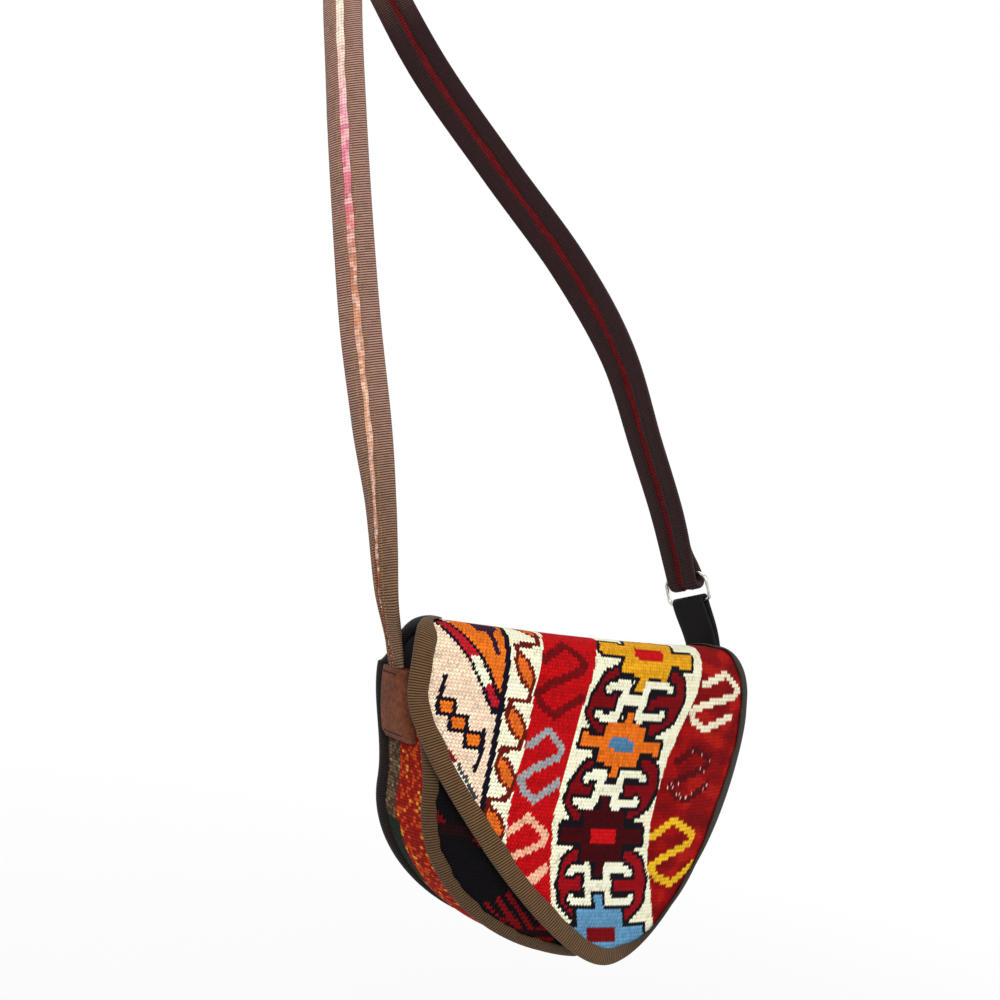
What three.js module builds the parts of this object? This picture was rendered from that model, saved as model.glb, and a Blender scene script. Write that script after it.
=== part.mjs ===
// Kilim crossbody bag: a flat-woven wool bag with a fold-over flap, bound in ribbed tape,
// hanging from a tape-edged strap that is sewn to one side and looped through a D-ring on the other.
// Millimetres, +Z up, +X to the right seen from the front, front facing -Y.
// The origin is the underside of the strap where it rests on the shoulder.
import * as THREE from 'three';
import { mergeVertices } from 'three/addons/utils/BufferGeometryUtils.js';

// Cloth, tape and leather
const kilimThickness = 3;
const liningThickness = 1;
const tapeThickness = 0.8;
const leatherThickness = 2;
const layerGap = 0.3;
const tapeGap = 0.7;
const seamGap = 1.6;

// Bag body, measured down from the crest of the fold and back to front
const bodyHalfWidth = 111;
const mouthHalfWidth = 122;
const widestDrop = 103;
const bottomRise = 82;
const mouthDrop = 30;
const bellyDrop = 128;
const bagDepth = 54;
const frontCrown = 12;
const hipHollow = 21;
const seamFlange = 8;
const seamTapeReach = 10;

// Gusset
const gussetTopDrop = 32;
const gussetCrown = 4;

// Flap, with its lengths taken along the cloth from the crest
const foldInset = 7;
const flapHalfWidth = 137;
const flapWidestLength = 52;
const flapLength = 203;
const flapTipBluntness = 42;
const flapShoulderCurve = 40;
const flapStandOff = 10.5;
const flapTipFlare = 4;
const flapFallBack = 20;
const flapFallStart = 20;
const flapFlare = 0.2;
const flapTapeReach = 13;
const rollDrop = 26;
const crestSetBack = 33;
const rollTurn = 0.55;
const neckTurn = 1;

// Magnetic snap at the belly
const snapDiameter = 14;
const snapSocketHeight = 2;
const snapPinDiameter = 5;
const snapPinHeight = 1.2;
const snapSeat = 0.9;

// Strap
const strapWidth = 28;
const strapLeave = 18;
const strapCoreThickness = 2.5;
const strapCoreShowing = 4.4;
const strapLeadLength = 46;
const strapReturnLength = 38;
const strapReturnClosed = 23;

// Leather tabs
const tabLength = 46;
const tabClearance = 2;
const strapRoom = 1.2;
const ringTabWidth = 27;
const ringTabRise = 60;
const ringTabLean = 10;
const ringTabSweep = 16;
const ringTabLeave = 35;
const ringTabArrive = 14.5;

// D-ring
const ringWire = 2.8;
const ringSideRoom = 3;
const ringHeight = 17;
const ringArch = 4;
const ringCorner = 4;
const ringTurn = 3.4;
const ringTilt = 17;

// Strap route, from the crest's middle: where the strap lies on chest, shoulder, back and side
const strapRoute = [
  { at: [-135, 17, 9], across: [0.84, 0.54, 0.06] },
  { at: [-140, 34, 65], across: [0.99, 0.02, 0.12] },
  { at: [-147, 48, 112], across: [0.93, -0.34, 0.16] },
  { at: [-158, 62, 168], across: [0.79, -0.59, 0.17] },
  { at: [-168, 74, 228], across: [0.79, -0.59, 0.17] },
  { at: [-175, 93, 299], across: [0.79, -0.59, 0.17] },
  { at: [-175, 120, 370], across: [0.79, -0.59, 0.17] },
  { at: [-161, 154, 419], across: [0.79, -0.59, 0.17] },
  { at: [-139, 182, 437], across: [0.77, -0.58, 0.26] },
  { at: [-103, 200, 416], across: [0.67, -0.5, 0.55] },
  { at: [-52, 195, 365], across: [0.6, -0.44, 0.67] },
  { at: [6, 173, 307], across: [0.6, -0.44, 0.67] },
  { at: [52, 132, 246], across: [0.48, -0.6, 0.64] },
  { at: [73, 89, 189], across: [0.23, -0.86, 0.46] },
  { at: [86, 58, 129], across: [0.09, -0.94, 0.32] },
];
const routeSteps = 5;

// Number of facets
const acrossCells = 16;
const flapCells = 11;
const backCells = 8;
const frontCells = 8;
const gussetCells = 36;
const gussetAcrossCells = 4;
const loopSteps = 6;
const tabSteps = 5;
const leadSteps = 4;
const ringSteps = 40;
const wireSides = 8;
const snapSides = 20;
const steepestSlant = 0.62;
const mostTrim = 0.95;
const weldTolerance = 0.001;

const halfKilim = kilimThickness / 2;
const liningFace = -halfKilim - layerGap;
const liningBack = liningFace - liningThickness;
const tapeTop = halfKilim + tapeGap;
const tapeUnder = liningBack - tapeGap;
const tapeFoot = tapeThickness - tapeUnder;
const seamInset = seamGap - liningBack;

// The gusset's upper ends are as wide as the strap, its leather and the tapes beside it
const tabHalfWidth = strapWidth / 2 + strapRoom + leatherThickness;
const mouthDepth = 2 * (tabHalfWidth + tabClearance + tapeFoot);
const foldHalfWidth = mouthHalfWidth - foldInset;
const point = (coordinates) => new THREE.Vector3(...coordinates);
const smooth = THREE.MathUtils.smoothstep;
const lerp = THREE.MathUtils.lerp;

// Solids

// Wraps points and triangles as a geometry that faces outwards
function solid(points, triangles) {
  const geometry = new THREE.BufferGeometry();
  const coordinates = points.flatMap((p) => p.toArray());
  geometry.setAttribute('position', new THREE.Float32BufferAttribute(coordinates, 3));
  geometry.setIndex(triangles);
  let volume = 0;
  for (let k = 0; k < triangles.length; k += 3) {
    const [a, b, c] = triangles.slice(k, k + 3).map((index) => points[index]);
    volume += a.dot(b.clone().cross(c));
  }
  if (volume < 0) {
    geometry.setIndex(triangles.slice().reverse());
  }
  geometry.computeVertexNormals();
  return geometry;
}

// Two triangles for a quad, split along its shorter diagonal
function splitQuad(points, a, b, c, d) {
  const rising = points[a].distanceTo(points[c]) <= points[b].distanceTo(points[d]);
  return rising ? [a, b, c, a, c, d] : [a, b, d, b, c, d];
}

// Joins a row of section loops into one body; an open row gets a flat cap at each end
function loft(sections, closed) {
  const size = sections[0].loop.length;
  const points = sections.flatMap((section) => section.loop);
  const triangles = [];
  const spans = closed ? sections.length : sections.length - 1;
  for (let row = 0; row < spans; row += 1) {
    const next = (row + 1) % sections.length;
    for (let k = 0; k < size; k += 1) {
      const side = (k + 1) % size;
      const [near, far] = [row * size, next * size];
      triangles.push(...splitQuad(points, near + k, near + side, far + side, far + k));
    }
  }
  if (!closed) {
    const last = sections.length - 1;
    const capAt = (row) => THREE.ShapeUtils.triangulateShape(sections[row].profile, [])
      .map((face) => face.map((index) => row * size + index));
    const turned = THREE.ShapeUtils.area(sections[0].profile) < 0;
    const startCap = capAt(0).flatMap(([a, b, c]) => (turned ? [a, b, c] : [a, c, b]));
    const endCap = capAt(last).flatMap(([a, b, c]) => (turned ? [a, c, b] : [a, b, c]));
    triangles.push(...startCap, ...endCap);
  }
  return solid(points, triangles);
}

// A section profile placed at a station: x runs along its across direction and y along its up direction
function placedSection(station, profile) {
  const loop = profile.map((corner) => station.at.clone()
    .addScaledVector(station.across, corner.x)
    .addScaledVector(station.up, corner.y));
  return { loop, profile };
}

function sweep(stations, profileAt, closed = false) {
  return loft(stations.map((station, index) => placedSection(station, profileAt(station, index))), closed);
}

function rectangle(x0, x1, y0, y1) {
  return [[x0, y0], [x1, y0], [x1, y1], [x0, y1]].map(([x, y]) => new THREE.Vector2(x, y));
}

// Tape folded over an edge whose inside is at edge; its legs have an end each and may crease part way
function foldedTape(edge, top, under, topEnd, underEnd, crease = null) {
  const turn = Math.sign(edge - topEnd) * tapeThickness;
  const creased = (height) => (crease === null ? [] : [[crease, height]]);
  const corners = [
    [topEnd, top],
    [topEnd, top + tapeThickness],
    ...creased(top + tapeThickness),
    [edge + turn, top + tapeThickness],
    [edge + turn, under - tapeThickness],
    [underEnd, under - tapeThickness],
    [underEnd, under],
    [edge, under],
    [edge, top],
    ...creased(top),
  ].map(([x, y]) => new THREE.Vector2(x, y));
  return turn > 0 ? corners : corners.reverse();
}

// Cloth panels

// Grid of points over a panel with smooth vertex normals
function clothGrid(columns, rows, pointAt) {
  const points = [];
  for (let j = 0; j <= rows; j += 1) {
    for (let i = 0; i <= columns; i += 1) {
      points.push(pointAt(i / columns, j / rows));
    }
  }
  const index = (i, j) => j * (columns + 1) + i;
  const triangles = [];
  for (let j = 0; j < rows; j += 1) {
    for (let i = 0; i < columns; i += 1) {
      const [a, b, c, d] = [index(i, j), index(i + 1, j), index(i + 1, j + 1), index(i, j + 1)];
      triangles.push(...splitQuad(points, a, b, c, d));
    }
  }
  const skin = new THREE.BufferGeometry().setFromPoints(points);
  skin.setIndex(triangles);
  skin.computeVertexNormals();
  const normal = skin.getAttribute('normal');
  const normals = points.map((point, k) => new THREE.Vector3().fromBufferAttribute(normal, k));
  const rim = [];
  for (let i = 0; i < columns; i += 1) rim.push(index(i, 0));
  for (let j = 0; j < rows; j += 1) rim.push(index(columns, j));
  for (let i = columns; i > 0; i -= 1) rim.push(index(i, rows));
  for (let j = rows; j > 0; j -= 1) rim.push(index(0, j));
  return { points, normals, triangles, rim, index, columns, rows };
}

// The layer of a cloth grid that lies between two heights over it
function clothLayer(grid, under, over) {
  const raised = (height) => grid.points.map((p, k) => p.clone().addScaledVector(grid.normals[k], height));
  const count = grid.points.length;
  const triangles = [...grid.triangles];
  for (let k = 0; k < grid.triangles.length; k += 3) {
    const [a, b, c] = grid.triangles.slice(k, k + 3);
    triangles.push(a + count, c + count, b + count);
  }
  grid.rim.forEach((from, k) => {
    const to = grid.rim[(k + 1) % grid.rim.length];
    triangles.push(from, from + count, to + count, from, to + count, to);
  });
  return solid([...raised(over), ...raised(under)], triangles);
}

// Section of a tape folded over the grid's rim: it follows the cloth inwards along the grid's own lines
function rimTape(grid, place, topReach, underReach) {
  const total = grid.rim.length;
  const rimPoint = (k) => grid.rim[(k + total) % total];
  const here = rimPoint(place);
  const column = here % (grid.columns + 1);
  const row = Math.floor(here / (grid.columns + 1));
  const inner = (limit) => grid.index(
    THREE.MathUtils.clamp(column, limit, grid.columns - limit),
    THREE.MathUtils.clamp(row, limit, grid.rows - limit),
  );
  const line = [here, inner(1), inner(2)];
  const points = line.map((k) => grid.points[k]);
  const normals = line.map((k) => grid.normals[k]);
  const spans = [points[0].distanceTo(points[1]), points[1].distanceTo(points[2])];
  const along = grid.points[rimPoint(place + 1)].clone().sub(grid.points[rimPoint(place - 1)]).normalize();
  const inward = points[1].clone().sub(points[0]).normalize();
  const slant = Math.max(inward.clone().cross(along).length(), steepestSlant);
  const onCloth = (reach, height) => {
    const second = reach > spans[0] ? 1 : 0;
    const share = (reach - second * spans[0]) / spans[second];
    const normal = normals[second].clone().lerp(normals[second + 1], Math.max(share, 0)).normalize();
    return points[second].clone().lerp(points[second + 1], share).addScaledVector(normal, height);
  };
  const topEnd = topReach / slant;
  const crease = Math.min(spans[0], topEnd / 2);
  const profile = foldedTape(tapeGap, tapeTop, tapeUnder, -topEnd, -underReach / slant, -crease);
  return { loop: profile.map((corner) => onCloth(-corner.x, corner.y)), profile };
}

// Panel outline: a side curve from the top corner to the widest place and a bottom curve to the middle
function panelPoint(side, bottom, u, v) {
  const onSide = side.getPointAt(v);
  const onBottom = bottom.getPointAt(1 - Math.abs(u));
  const corner = bottom.getPointAt(0);
  const x = v * Math.sign(u) * onBottom.x + u * onSide.x - u * v * corner.x;
  const y = v * onBottom.y + onSide.y - v * corner.y;
  return new THREE.Vector2(x, y);
}

// Side and bottom of the body, seen from the front, let out by a seam flange
function bodySide(topDrop, outset) {
  const top = new THREE.Vector2(mouthHalfWidth + outset, -topDrop);
  const widest = new THREE.Vector2(bodyHalfWidth + outset, -widestDrop);
  const bend = (top.y - widest.y) / 3;
  const leave = new THREE.Vector2(top.x, top.y - bend);
  const arrive = new THREE.Vector2(widest.x, widest.y + bend);
  return new THREE.CubicBezierCurve(top, leave, arrive, widest);
}

function bodyBottom(outset) {
  const across = bodyHalfWidth + outset;
  const down = bottomRise + outset;
  return new THREE.EllipseCurve(0, -widestDrop, across, down, 0, -Math.PI / 2, true);
}

const hipBend = (x) => hipHollow * (x / bodyHalfWidth) ** 2;
const depthAt = (z) => lerp(mouthDepth, bagDepth, smooth(-z, mouthDrop, bellyDrop));

// The front panel swells most at the belly
const panelBottomDrop = widestDrop + bottomRise + seamFlange;
const bellyShare = (bellyDrop - mouthDrop) / (panelBottomDrop - mouthDrop);
const swellPower = Math.log(0.5) / Math.log(bellyShare);

function frontGrid() {
  const side = bodySide(mouthDrop, seamFlange);
  const bottom = bodyBottom(seamFlange);
  return clothGrid(acrossCells, frontCells, (across, rise) => {
    const u = 2 * across - 1;
    const v = 1 - rise;
    const flat = panelPoint(side, bottom, u, v);
    const swell = frontCrown * (1 - u * u) * Math.sin(Math.PI * v ** swellPower);
    return new THREE.Vector3(flat.x, hipBend(flat.x) - depthAt(flat.y) - swell, flat.y);
  });
}

// Fold of the back and flap cloth in the middle of the bag, as back-to-front against height
const flapFrontY = -(mouthDepth + flapStandOff);
const flapBellyY = -(bagDepth + frontCrown + flapStandOff);

function foldProfile() {
  const at = (y, z) => new THREE.Vector2(y, z);
  const crest = at(-crestSetBack, 0);
  const front = at(flapFrontY, -rollDrop);
  const belly = at(flapBellyY, -bellyDrop);
  const bellyPull = (bellyDrop - rollDrop) / 3;
  const run = flapFrontY - flapBellyY;
  const back = new THREE.LineCurve(at(0, -panelBottomDrop), at(0, -rollDrop));
  const backRoll = new THREE.CubicBezierCurve(
    at(0, -rollDrop),
    at(0, -rollDrop / 3),
    at(-crestSetBack / 3, 0),
    crest,
  );
  const frontRoll = new THREE.CubicBezierCurve(
    crest,
    at(lerp(-crestSetBack, flapFrontY, rollTurn), 0),
    at(flapFrontY + run / 6, -rollDrop / 2),
    front,
  );
  const chest = new THREE.CubicBezierCurve(
    front,
    at(flapFrontY - run / 3, -rollDrop - bellyPull),
    at(flapBellyY, -bellyDrop + bellyPull),
    belly,
  );
  const tail = flapLength - crestToBelly(frontRoll, chest);
  const skirt = new THREE.CubicBezierCurve(
    belly,
    at(flapBellyY, -bellyDrop - tail / 3),
    at(flapBellyY - flapTipFlare / 2, -bellyDrop - tail * 2 / 3),
    at(flapBellyY - flapTipFlare, -bellyDrop - tail),
  );
  const path = new THREE.CurvePath();
  [back, backRoll, frontRoll, chest, skirt].forEach((curve) => path.add(curve));
  return { path, length: path.getLength(), crestAt: back.getLength() + backRoll.getLength() };
}

function crestToBelly(frontRoll, chest) {
  return frontRoll.getLength() + chest.getLength();
}

const fold = foldProfile();

// Point of the folded cloth: x across the bag and run along the cloth from the crest, flap positive
function foldedPoint(x, run) {
  const share = THREE.MathUtils.clamp((fold.crestAt + run) / fold.length, 0, 1);
  const onFold = fold.path.getPoint(share);
  const fallBack = flapFallBack * (x / flapHalfWidth) ** 2 * smooth(run, flapFallStart, flapLength);
  return new THREE.Vector3(x, onFold.x + hipBend(x) + fallBack, onFold.y);
}

// Run along the back of the cloth for a height below the crest
const backRunAt = (z) => -fold.crestAt + (z + panelBottomDrop);

function foldedGrid() {
  const flapSide = new THREE.CubicBezierCurve(
    new THREE.Vector2(foldHalfWidth, 0),
    new THREE.Vector2(foldHalfWidth, flapWidestLength * flapFlare / 2),
    new THREE.Vector2(flapHalfWidth, flapWidestLength * flapFlare),
    new THREE.Vector2(flapHalfWidth, flapWidestLength),
  );
  const flapBottom = new THREE.CubicBezierCurve(
    new THREE.Vector2(flapHalfWidth, flapWidestLength),
    new THREE.Vector2(flapHalfWidth, flapWidestLength + flapShoulderCurve),
    new THREE.Vector2(flapTipBluntness, flapLength),
    new THREE.Vector2(0, flapLength),
  );
  const backSide = new THREE.CurvePath();
  const seamTop = runOnBack(new THREE.Vector2(mouthHalfWidth + seamFlange, -gussetTopDrop));
  const neck = new THREE.CubicBezierCurve(
    new THREE.Vector2(foldHalfWidth, 0),
    new THREE.Vector2(foldHalfWidth, seamTop.y * neckTurn),
    new THREE.Vector2(seamTop.x, seamTop.y * neckTurn),
    seamTop,
  );
  const bodyEdge = bodySide(gussetTopDrop, seamFlange);
  [bodyEdge.v0, bodyEdge.v1, bodyEdge.v2, bodyEdge.v3].forEach((point) => point.copy(runOnBack(point)));
  backSide.add(neck);
  backSide.add(bodyEdge);
  const sideOfBack = { getPointAt: (t) => backSide.getPoint(t) };
  const bottom = bodyBottom(seamFlange);
  const backBottom = { getPointAt: (t) => runOnBack(bottom.getPointAt(t)) };
  const rows = flapCells + backCells;
  return clothGrid(acrossCells, rows, (across, along) => {
    const u = 2 * across - 1;
    const row = along * rows - flapCells;
    const onFlap = row < 0;
    const flat = onFlap
      ? panelPoint(flapSide, flapBottom, u, -row / flapCells)
      : panelPoint(sideOfBack, backBottom, u, row / backCells);
    return foldedPoint(flat.x, flat.y);
  });
}

function runOnBack(point) {
  return new THREE.Vector2(point.x, backRunAt(point.y));
}

// Gusset: stations down the left side, round the bottom and up the right side
function gussetLine(share) {
  const side = bodySide(gussetTopDrop, 0);
  const bottom = bodyBottom(0);
  const sideLength = side.getLength();
  const total = 2 * (sideLength + bottom.getLength());
  const run = share * total;
  const mirrored = run < total / 2;
  const half = mirrored ? run : total - run;
  const onSide = half < sideLength;
  const curve = onSide ? side : bottom;
  const t = onSide ? half / sideLength : (half - sideLength) / bottom.getLength();
  const point = curve.getPointAt(Math.min(t, 1));
  const along = curve.getTangentAt(Math.min(t, 1));
  const turn = mirrored ? -1 : 1;
  const at = new THREE.Vector3(turn * point.x, 0, point.y);
  const outward = new THREE.Vector3(-turn * along.y, 0, along.x).normalize();
  return { at, outward };
}

const frontSeamY = (x, z) => hipBend(x) - depthAt(z) + seamInset;
const backSeamY = (x) => hipBend(x) - seamInset;

function gussetGrid() {
  return clothGrid(gussetCells, gussetAcrossCells, (along, across) => {
    const { at, outward } = gussetLine(along);
    const y = lerp(backSeamY(at.x), frontSeamY(at.x, at.z), across);
    const below = smooth(-at.z, gussetTopDrop + tabLength, widestDrop + bottomRise / 2);
    const swell = gussetCrown * below * 4 * across * (1 - across);
    return at.addScaledVector(outward, swell).setY(y);
  });
}

// Place on the gusset's upper end: -1 is the left side and +1 the right, with a drop below its top
function gussetEnd(turn, drop, lift) {
  const side = bodySide(gussetTopDrop, 0);
  const share = THREE.MathUtils.clamp(drop / side.getLength(), 0, 1);
  const point = side.getPointAt(share);
  const tangent = side.getTangentAt(share);
  const outward = new THREE.Vector3(-tangent.y * turn, 0, tangent.x).normalize();
  const upward = new THREE.Vector3(-tangent.x * turn, 0, -tangent.y).normalize();
  const at = new THREE.Vector3(turn * point.x, 0, point.y).addScaledVector(outward, lift);
  at.y = (frontSeamY(at.x, point.y) + backSeamY(at.x)) / 2;
  return { at, outward, upward };
}

// Left tab and strap

const strapHalfThickness = strapCoreThickness / 2 + layerGap + tapeThickness;
const strapLift = halfKilim + layerGap + strapHalfThickness;
const tabInside = strapLift + strapHalfThickness + layerGap;
const backwards = new THREE.Vector3(0, 1, 0);

function strapTab() {
  const stations = [];
  for (let k = 0; k <= tabSteps; k += 1) {
    const drop = tabLength * k / tabSteps;
    const end = gussetEnd(-1, drop, 0);
    const up = gussetEnd(-1, drop, 1).at.sub(end.at);
    stations.push({ at: end.at, across: backwards.clone(), up });
  }
  const foot = halfKilim + layerGap;
  return sweep(stations, ({ at }) => {
    const half = tabHalfWidth + (depthAt(at.z) - mouthDepth) / 2;
    const inside = strapWidth / 2 + strapRoom;
    return [
      [-half, foot],
      [-half, foot + leatherThickness],
      [-inside - leatherThickness / 2, tabInside + leatherThickness],
      [inside + leatherThickness / 2, tabInside + leatherThickness],
      [half, foot + leatherThickness],
      [half, foot],
      [inside, foot],
      [inside, tabInside],
      [-inside, tabInside],
      [-inside, foot],
    ].map(([x, y]) => new THREE.Vector2(x, y));
  });
}

// Ring frame: the bar's middle, the bar's direction, the pull along the strap and the outward normal
function ringFrame() {
  const top = gussetEnd(1, 0, ringTabLift);
  const bar = top.at.clone().add(new THREE.Vector3(-ringTabLean, ringTabSweep, ringTabRise));
  const turn = THREE.MathUtils.degToRad(ringTurn);
  const tilt = THREE.MathUtils.degToRad(ringTilt);
  const along = new THREE.Vector3(-Math.sin(turn), Math.cos(turn), -Math.tan(tilt)).normalize();
  const next = point(strapRoute.at(-1).at);
  const pull = next.sub(bar);
  pull.addScaledVector(along, -pull.dot(along)).normalize();
  return { bar, along, pull, outward: along.clone().cross(pull).normalize() };
}

// The two leaves of the ring tab lie on the gusset and close round the bar
const ringTabLift = halfKilim + layerGap + leatherThickness + layerGap / 2;
const leafHalfGap = (leatherThickness + layerGap) / 2;
const barLoop = ringWire / 2 + layerGap + leatherThickness / 2;
const ring = ringFrame();

function ringTab() {
  const spine = [];
  for (let k = tabSteps; k >= 0; k -= 1) {
    const end = gussetEnd(1, tabLength * k / tabSteps, ringTabLift);
    spine.push({ at: end.at, across: backwards.clone(), up: end.outward, half: leafHalfGap });
  }
  const top = spine.at(-1);
  const lead = new THREE.CubicBezierCurve3(
    top.at,
    top.at.clone().addScaledVector(gussetEnd(1, 0, 0).upward, ringTabLeave),
    ring.bar.clone().addScaledVector(ring.pull, -ringTabArrive),
    ring.bar,
  );
  for (let k = 1; k <= leadSteps; k += 1) {
    const share = k / leadSteps;
    const tangent = lead.getTangentAt(share);
    const across = backwards.clone().lerp(ring.along, share);
    across.addScaledVector(tangent, -across.dot(tangent)).normalize();
    const half = lerp(leafHalfGap, barLoop, smooth(share, 1 / leadSteps, 1));
    spine.push({ at: lead.getPointAt(share), across, up: across.clone().cross(tangent).normalize(), half });
  }
  const leaf = (side) => spine.map((s) => ({
    at: s.at.clone().addScaledVector(s.up, side * s.half),
    across: s.across,
    up: s.up.clone().multiplyScalar(side),
  }));
  const tip = spine.at(-1);
  const onward = tip.up.clone().cross(tip.across).normalize();
  const loop = [];
  for (let k = 1; k < loopSteps; k += 1) {
    const angle = Math.PI * k / loopSteps;
    const out = tip.up.clone().multiplyScalar(Math.cos(angle)).addScaledVector(onward, Math.sin(angle));
    loop.push({ at: tip.at.clone().addScaledVector(out, barLoop), across: tip.across, up: out });
  }
  const stations = [...leaf(1), ...loop, ...leaf(-1).reverse()];
  const half = ringTabWidth / 2;
  return sweep(stations, () => rectangle(-half, half, -leatherThickness / 2, leatherThickness / 2));
}

// D-ring: a straight bar, rounded corners and an arched top
function dRing() {
  const half = strapWidth / 2 + ringSideRoom + ringWire / 2;
  const path = new THREE.Path();
  const rise = ringHeight + ringWire;
  path.moveTo(0, 0);
  path.lineTo(half - ringCorner, 0);
  path.quadraticCurveTo(half, 0, half, ringCorner);
  const archFoot = rise - ringArch - ringCorner;
  const archPull = rise - ringArch + ringCorner / 2;
  path.lineTo(half, archFoot);
  path.bezierCurveTo(half, archPull, half / 2, rise, 0, rise);
  path.bezierCurveTo(-half / 2, rise, -half, archPull, -half, archFoot);
  path.lineTo(-half, ringCorner);
  path.quadraticCurveTo(-half, 0, -half + ringCorner, 0);
  path.closePath();
  const stations = [];
  for (let k = 0; k < ringSteps; k += 1) {
    const flat = path.getPoint(k / ringSteps);
    const ahead = path.getPoint((k + 0.5) / ringSteps);
    const behind = path.getPoint((k + ringSteps - 0.5) / ringSteps % 1);
    const tangent = ahead.sub(behind).normalize();
    const at = ring.bar.clone().addScaledVector(ring.along, flat.x).addScaledVector(ring.pull, flat.y);
    const across = ring.along.clone().multiplyScalar(tangent.y).addScaledVector(ring.pull, -tangent.x);
    stations.push({ at, across, up: ring.outward });
  }
  const circle = new THREE.EllipseCurve(0, 0, ringWire / 2, ringWire / 2).getPoints(wireSides).slice(1);
  return sweep(stations, () => circle, true);
}

// Strap stations: up out of the left tab, over the shoulder, down to the ring, round it and back up
function strapStations() {
  const inTab = [];
  for (let k = tabSteps - 1; k >= 0; k -= 1) {
    const place = gussetEnd(-1, tabLength * k / tabSteps, strapLift);
    inTab.push({ at: place.at, across: backwards.clone(), up: place.outward });
  }
  const top = inTab.pop();
  const leave = gussetEnd(-1, 0, strapLift).upward;
  const loopRadius = ringWire / 2 + layerGap + strapHalfThickness;
  const loopLow = ringHeight + ringWire / 2 - ringArch - layerGap;
  const ringTop = ring.bar.clone().addScaledVector(ring.pull, loopLow);
  const inward = ring.outward.clone().negate();
  const meet = ringTop.clone().addScaledVector(inward, loopRadius);
  const knots = [
    { at: top.at, across: top.across },
    { at: top.at.clone().addScaledVector(leave, strapLeave), across: top.across },
    ...strapRoute.map(({ at, across }) => ({ at: point(at), across: point(across) })),
    { at: meet.clone().addScaledVector(ring.pull, strapLeadLength), across: ring.along.clone().negate() },
    { at: meet, across: ring.along.clone().negate() },
  ];
  const route = new THREE.CatmullRomCurve3(knots.map((knot) => knot.at), false, 'centripetal');
  const turning = new THREE.CatmullRomCurve3(knots.map((knot) => knot.across));
  const free = [];
  const steps = (knots.length - 1) * routeSteps;
  for (let k = 0; k < steps; k += 1) {
    const share = k / steps;
    const tangent = route.getTangent(share);
    const across = turning.getPoint(share);
    across.addScaledVector(tangent, -across.dot(tangent)).normalize();
    free.push({ at: route.getPoint(share), across, up: tangent.clone().cross(across).normalize() });
  }
  const across = ring.along.clone().negate();
  const loop = [];
  for (let k = 0; k <= loopSteps; k += 1) {
    const angle = Math.PI * k / loopSteps;
    const out = inward.clone().multiplyScalar(Math.cos(angle)).addScaledVector(ring.pull, -Math.sin(angle));
    loop.push({ at: ringTop.clone().addScaledVector(out, loopRadius), across, up: out });
  }
  const lieClose = 2 * strapHalfThickness + layerGap - loopRadius;
  const pastWire = ringArch + 2 * ringWire;
  const back = [[pastWire, loopRadius], [strapReturnClosed, lieClose], [strapReturnLength, lieClose]];
  const ending = back.map(([rise, offset]) => ({
    at: ringTop.clone().addScaledVector(ring.outward, offset).addScaledVector(ring.pull, rise),
    across,
    up: ring.outward,
  }));
  return [...inTab, ...free, ...loop, ...ending];
}

const strap = strapStations();

function strapCore() {
  const half = strapWidth / 2 - tapeThickness - layerGap;
  const line = strapCoreShowing / 2;
  const thick = strapCoreThickness / 2;
  const under = [-half, -line, line, half].map((x) => new THREE.Vector2(x, -thick));
  const over = [half, line, -line, -half].map((x) => new THREE.Vector2(x, thick));
  return sweep(strap, () => [...under, ...over]);
}

function strapTape(side) {
  const edge = side * (strapWidth / 2 - tapeThickness);
  const end = side * strapCoreShowing / 2;
  const inside = strapCoreThickness / 2 + layerGap;
  return sweep(strap, () => foldedTape(edge, inside, -inside, end, end));
}

// Tapes on the bag

const innerSeamReach = seamFlange - halfKilim - 2 * seamGap;

function edgeTape(grid) {
  const sections = grid.rim.map((here, place) => {
    const onFlap = Math.floor(here / (grid.columns + 1)) <= flapCells;
    return onFlap
      ? rimTape(grid, place, flapTapeReach, flapTapeReach)
      : rimTape(grid, place, seamTapeReach, innerSeamReach);
  });
  return loft(sections, true);
}

function frontSeamTape(grid) {
  const sections = [];
  for (let place = -grid.rows; place <= grid.columns + grid.rows; place += 1) {
    sections.push(rimTape(grid, place, seamTapeReach, innerSeamReach));
  }
  return loft(sections, false);
}

// The mouth tape stops short of the seam tapes at both corners
function mouthTape(grid) {
  const first = grid.columns + grid.rows;
  const sections = [];
  for (let place = first; place <= first + grid.columns; place += 1) {
    sections.push(rimTape(grid, place, seamTapeReach, seamTapeReach));
  }
  const trim = 2 * seamTapeReach;
  const drawIn = (end, next) => end.loop.forEach((point, k) => {
    const target = next.loop[k];
    point.lerp(target, Math.min(trim / point.distanceTo(target), mostTrim));
  });
  drawIn(sections[0], sections[1]);
  drawIn(sections.at(-1), sections.at(-2));
  return loft(sections, false);
}

// Magnetic snap: lathe bodies that stand on the front panel and on the flap's lining

const snapClear = flapStandOff - halfKilim + liningBack - 2 * snapSeat;

function snapBody(profile, at, direction) {
  const geometry = new THREE.LatheGeometry(profile.map(([r, h]) => new THREE.Vector2(r, h)), snapSides);
  geometry.deleteAttribute('normal');
  geometry.deleteAttribute('uv');
  const merged = mergeVertices(geometry, weldTolerance);
  const turn = new THREE.Quaternion().setFromUnitVectors(new THREE.Vector3(0, 1, 0), direction);
  merged.applyQuaternion(turn);
  merged.translate(at.x, at.y, at.z);
  merged.computeVertexNormals();
  return merged;
}

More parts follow.
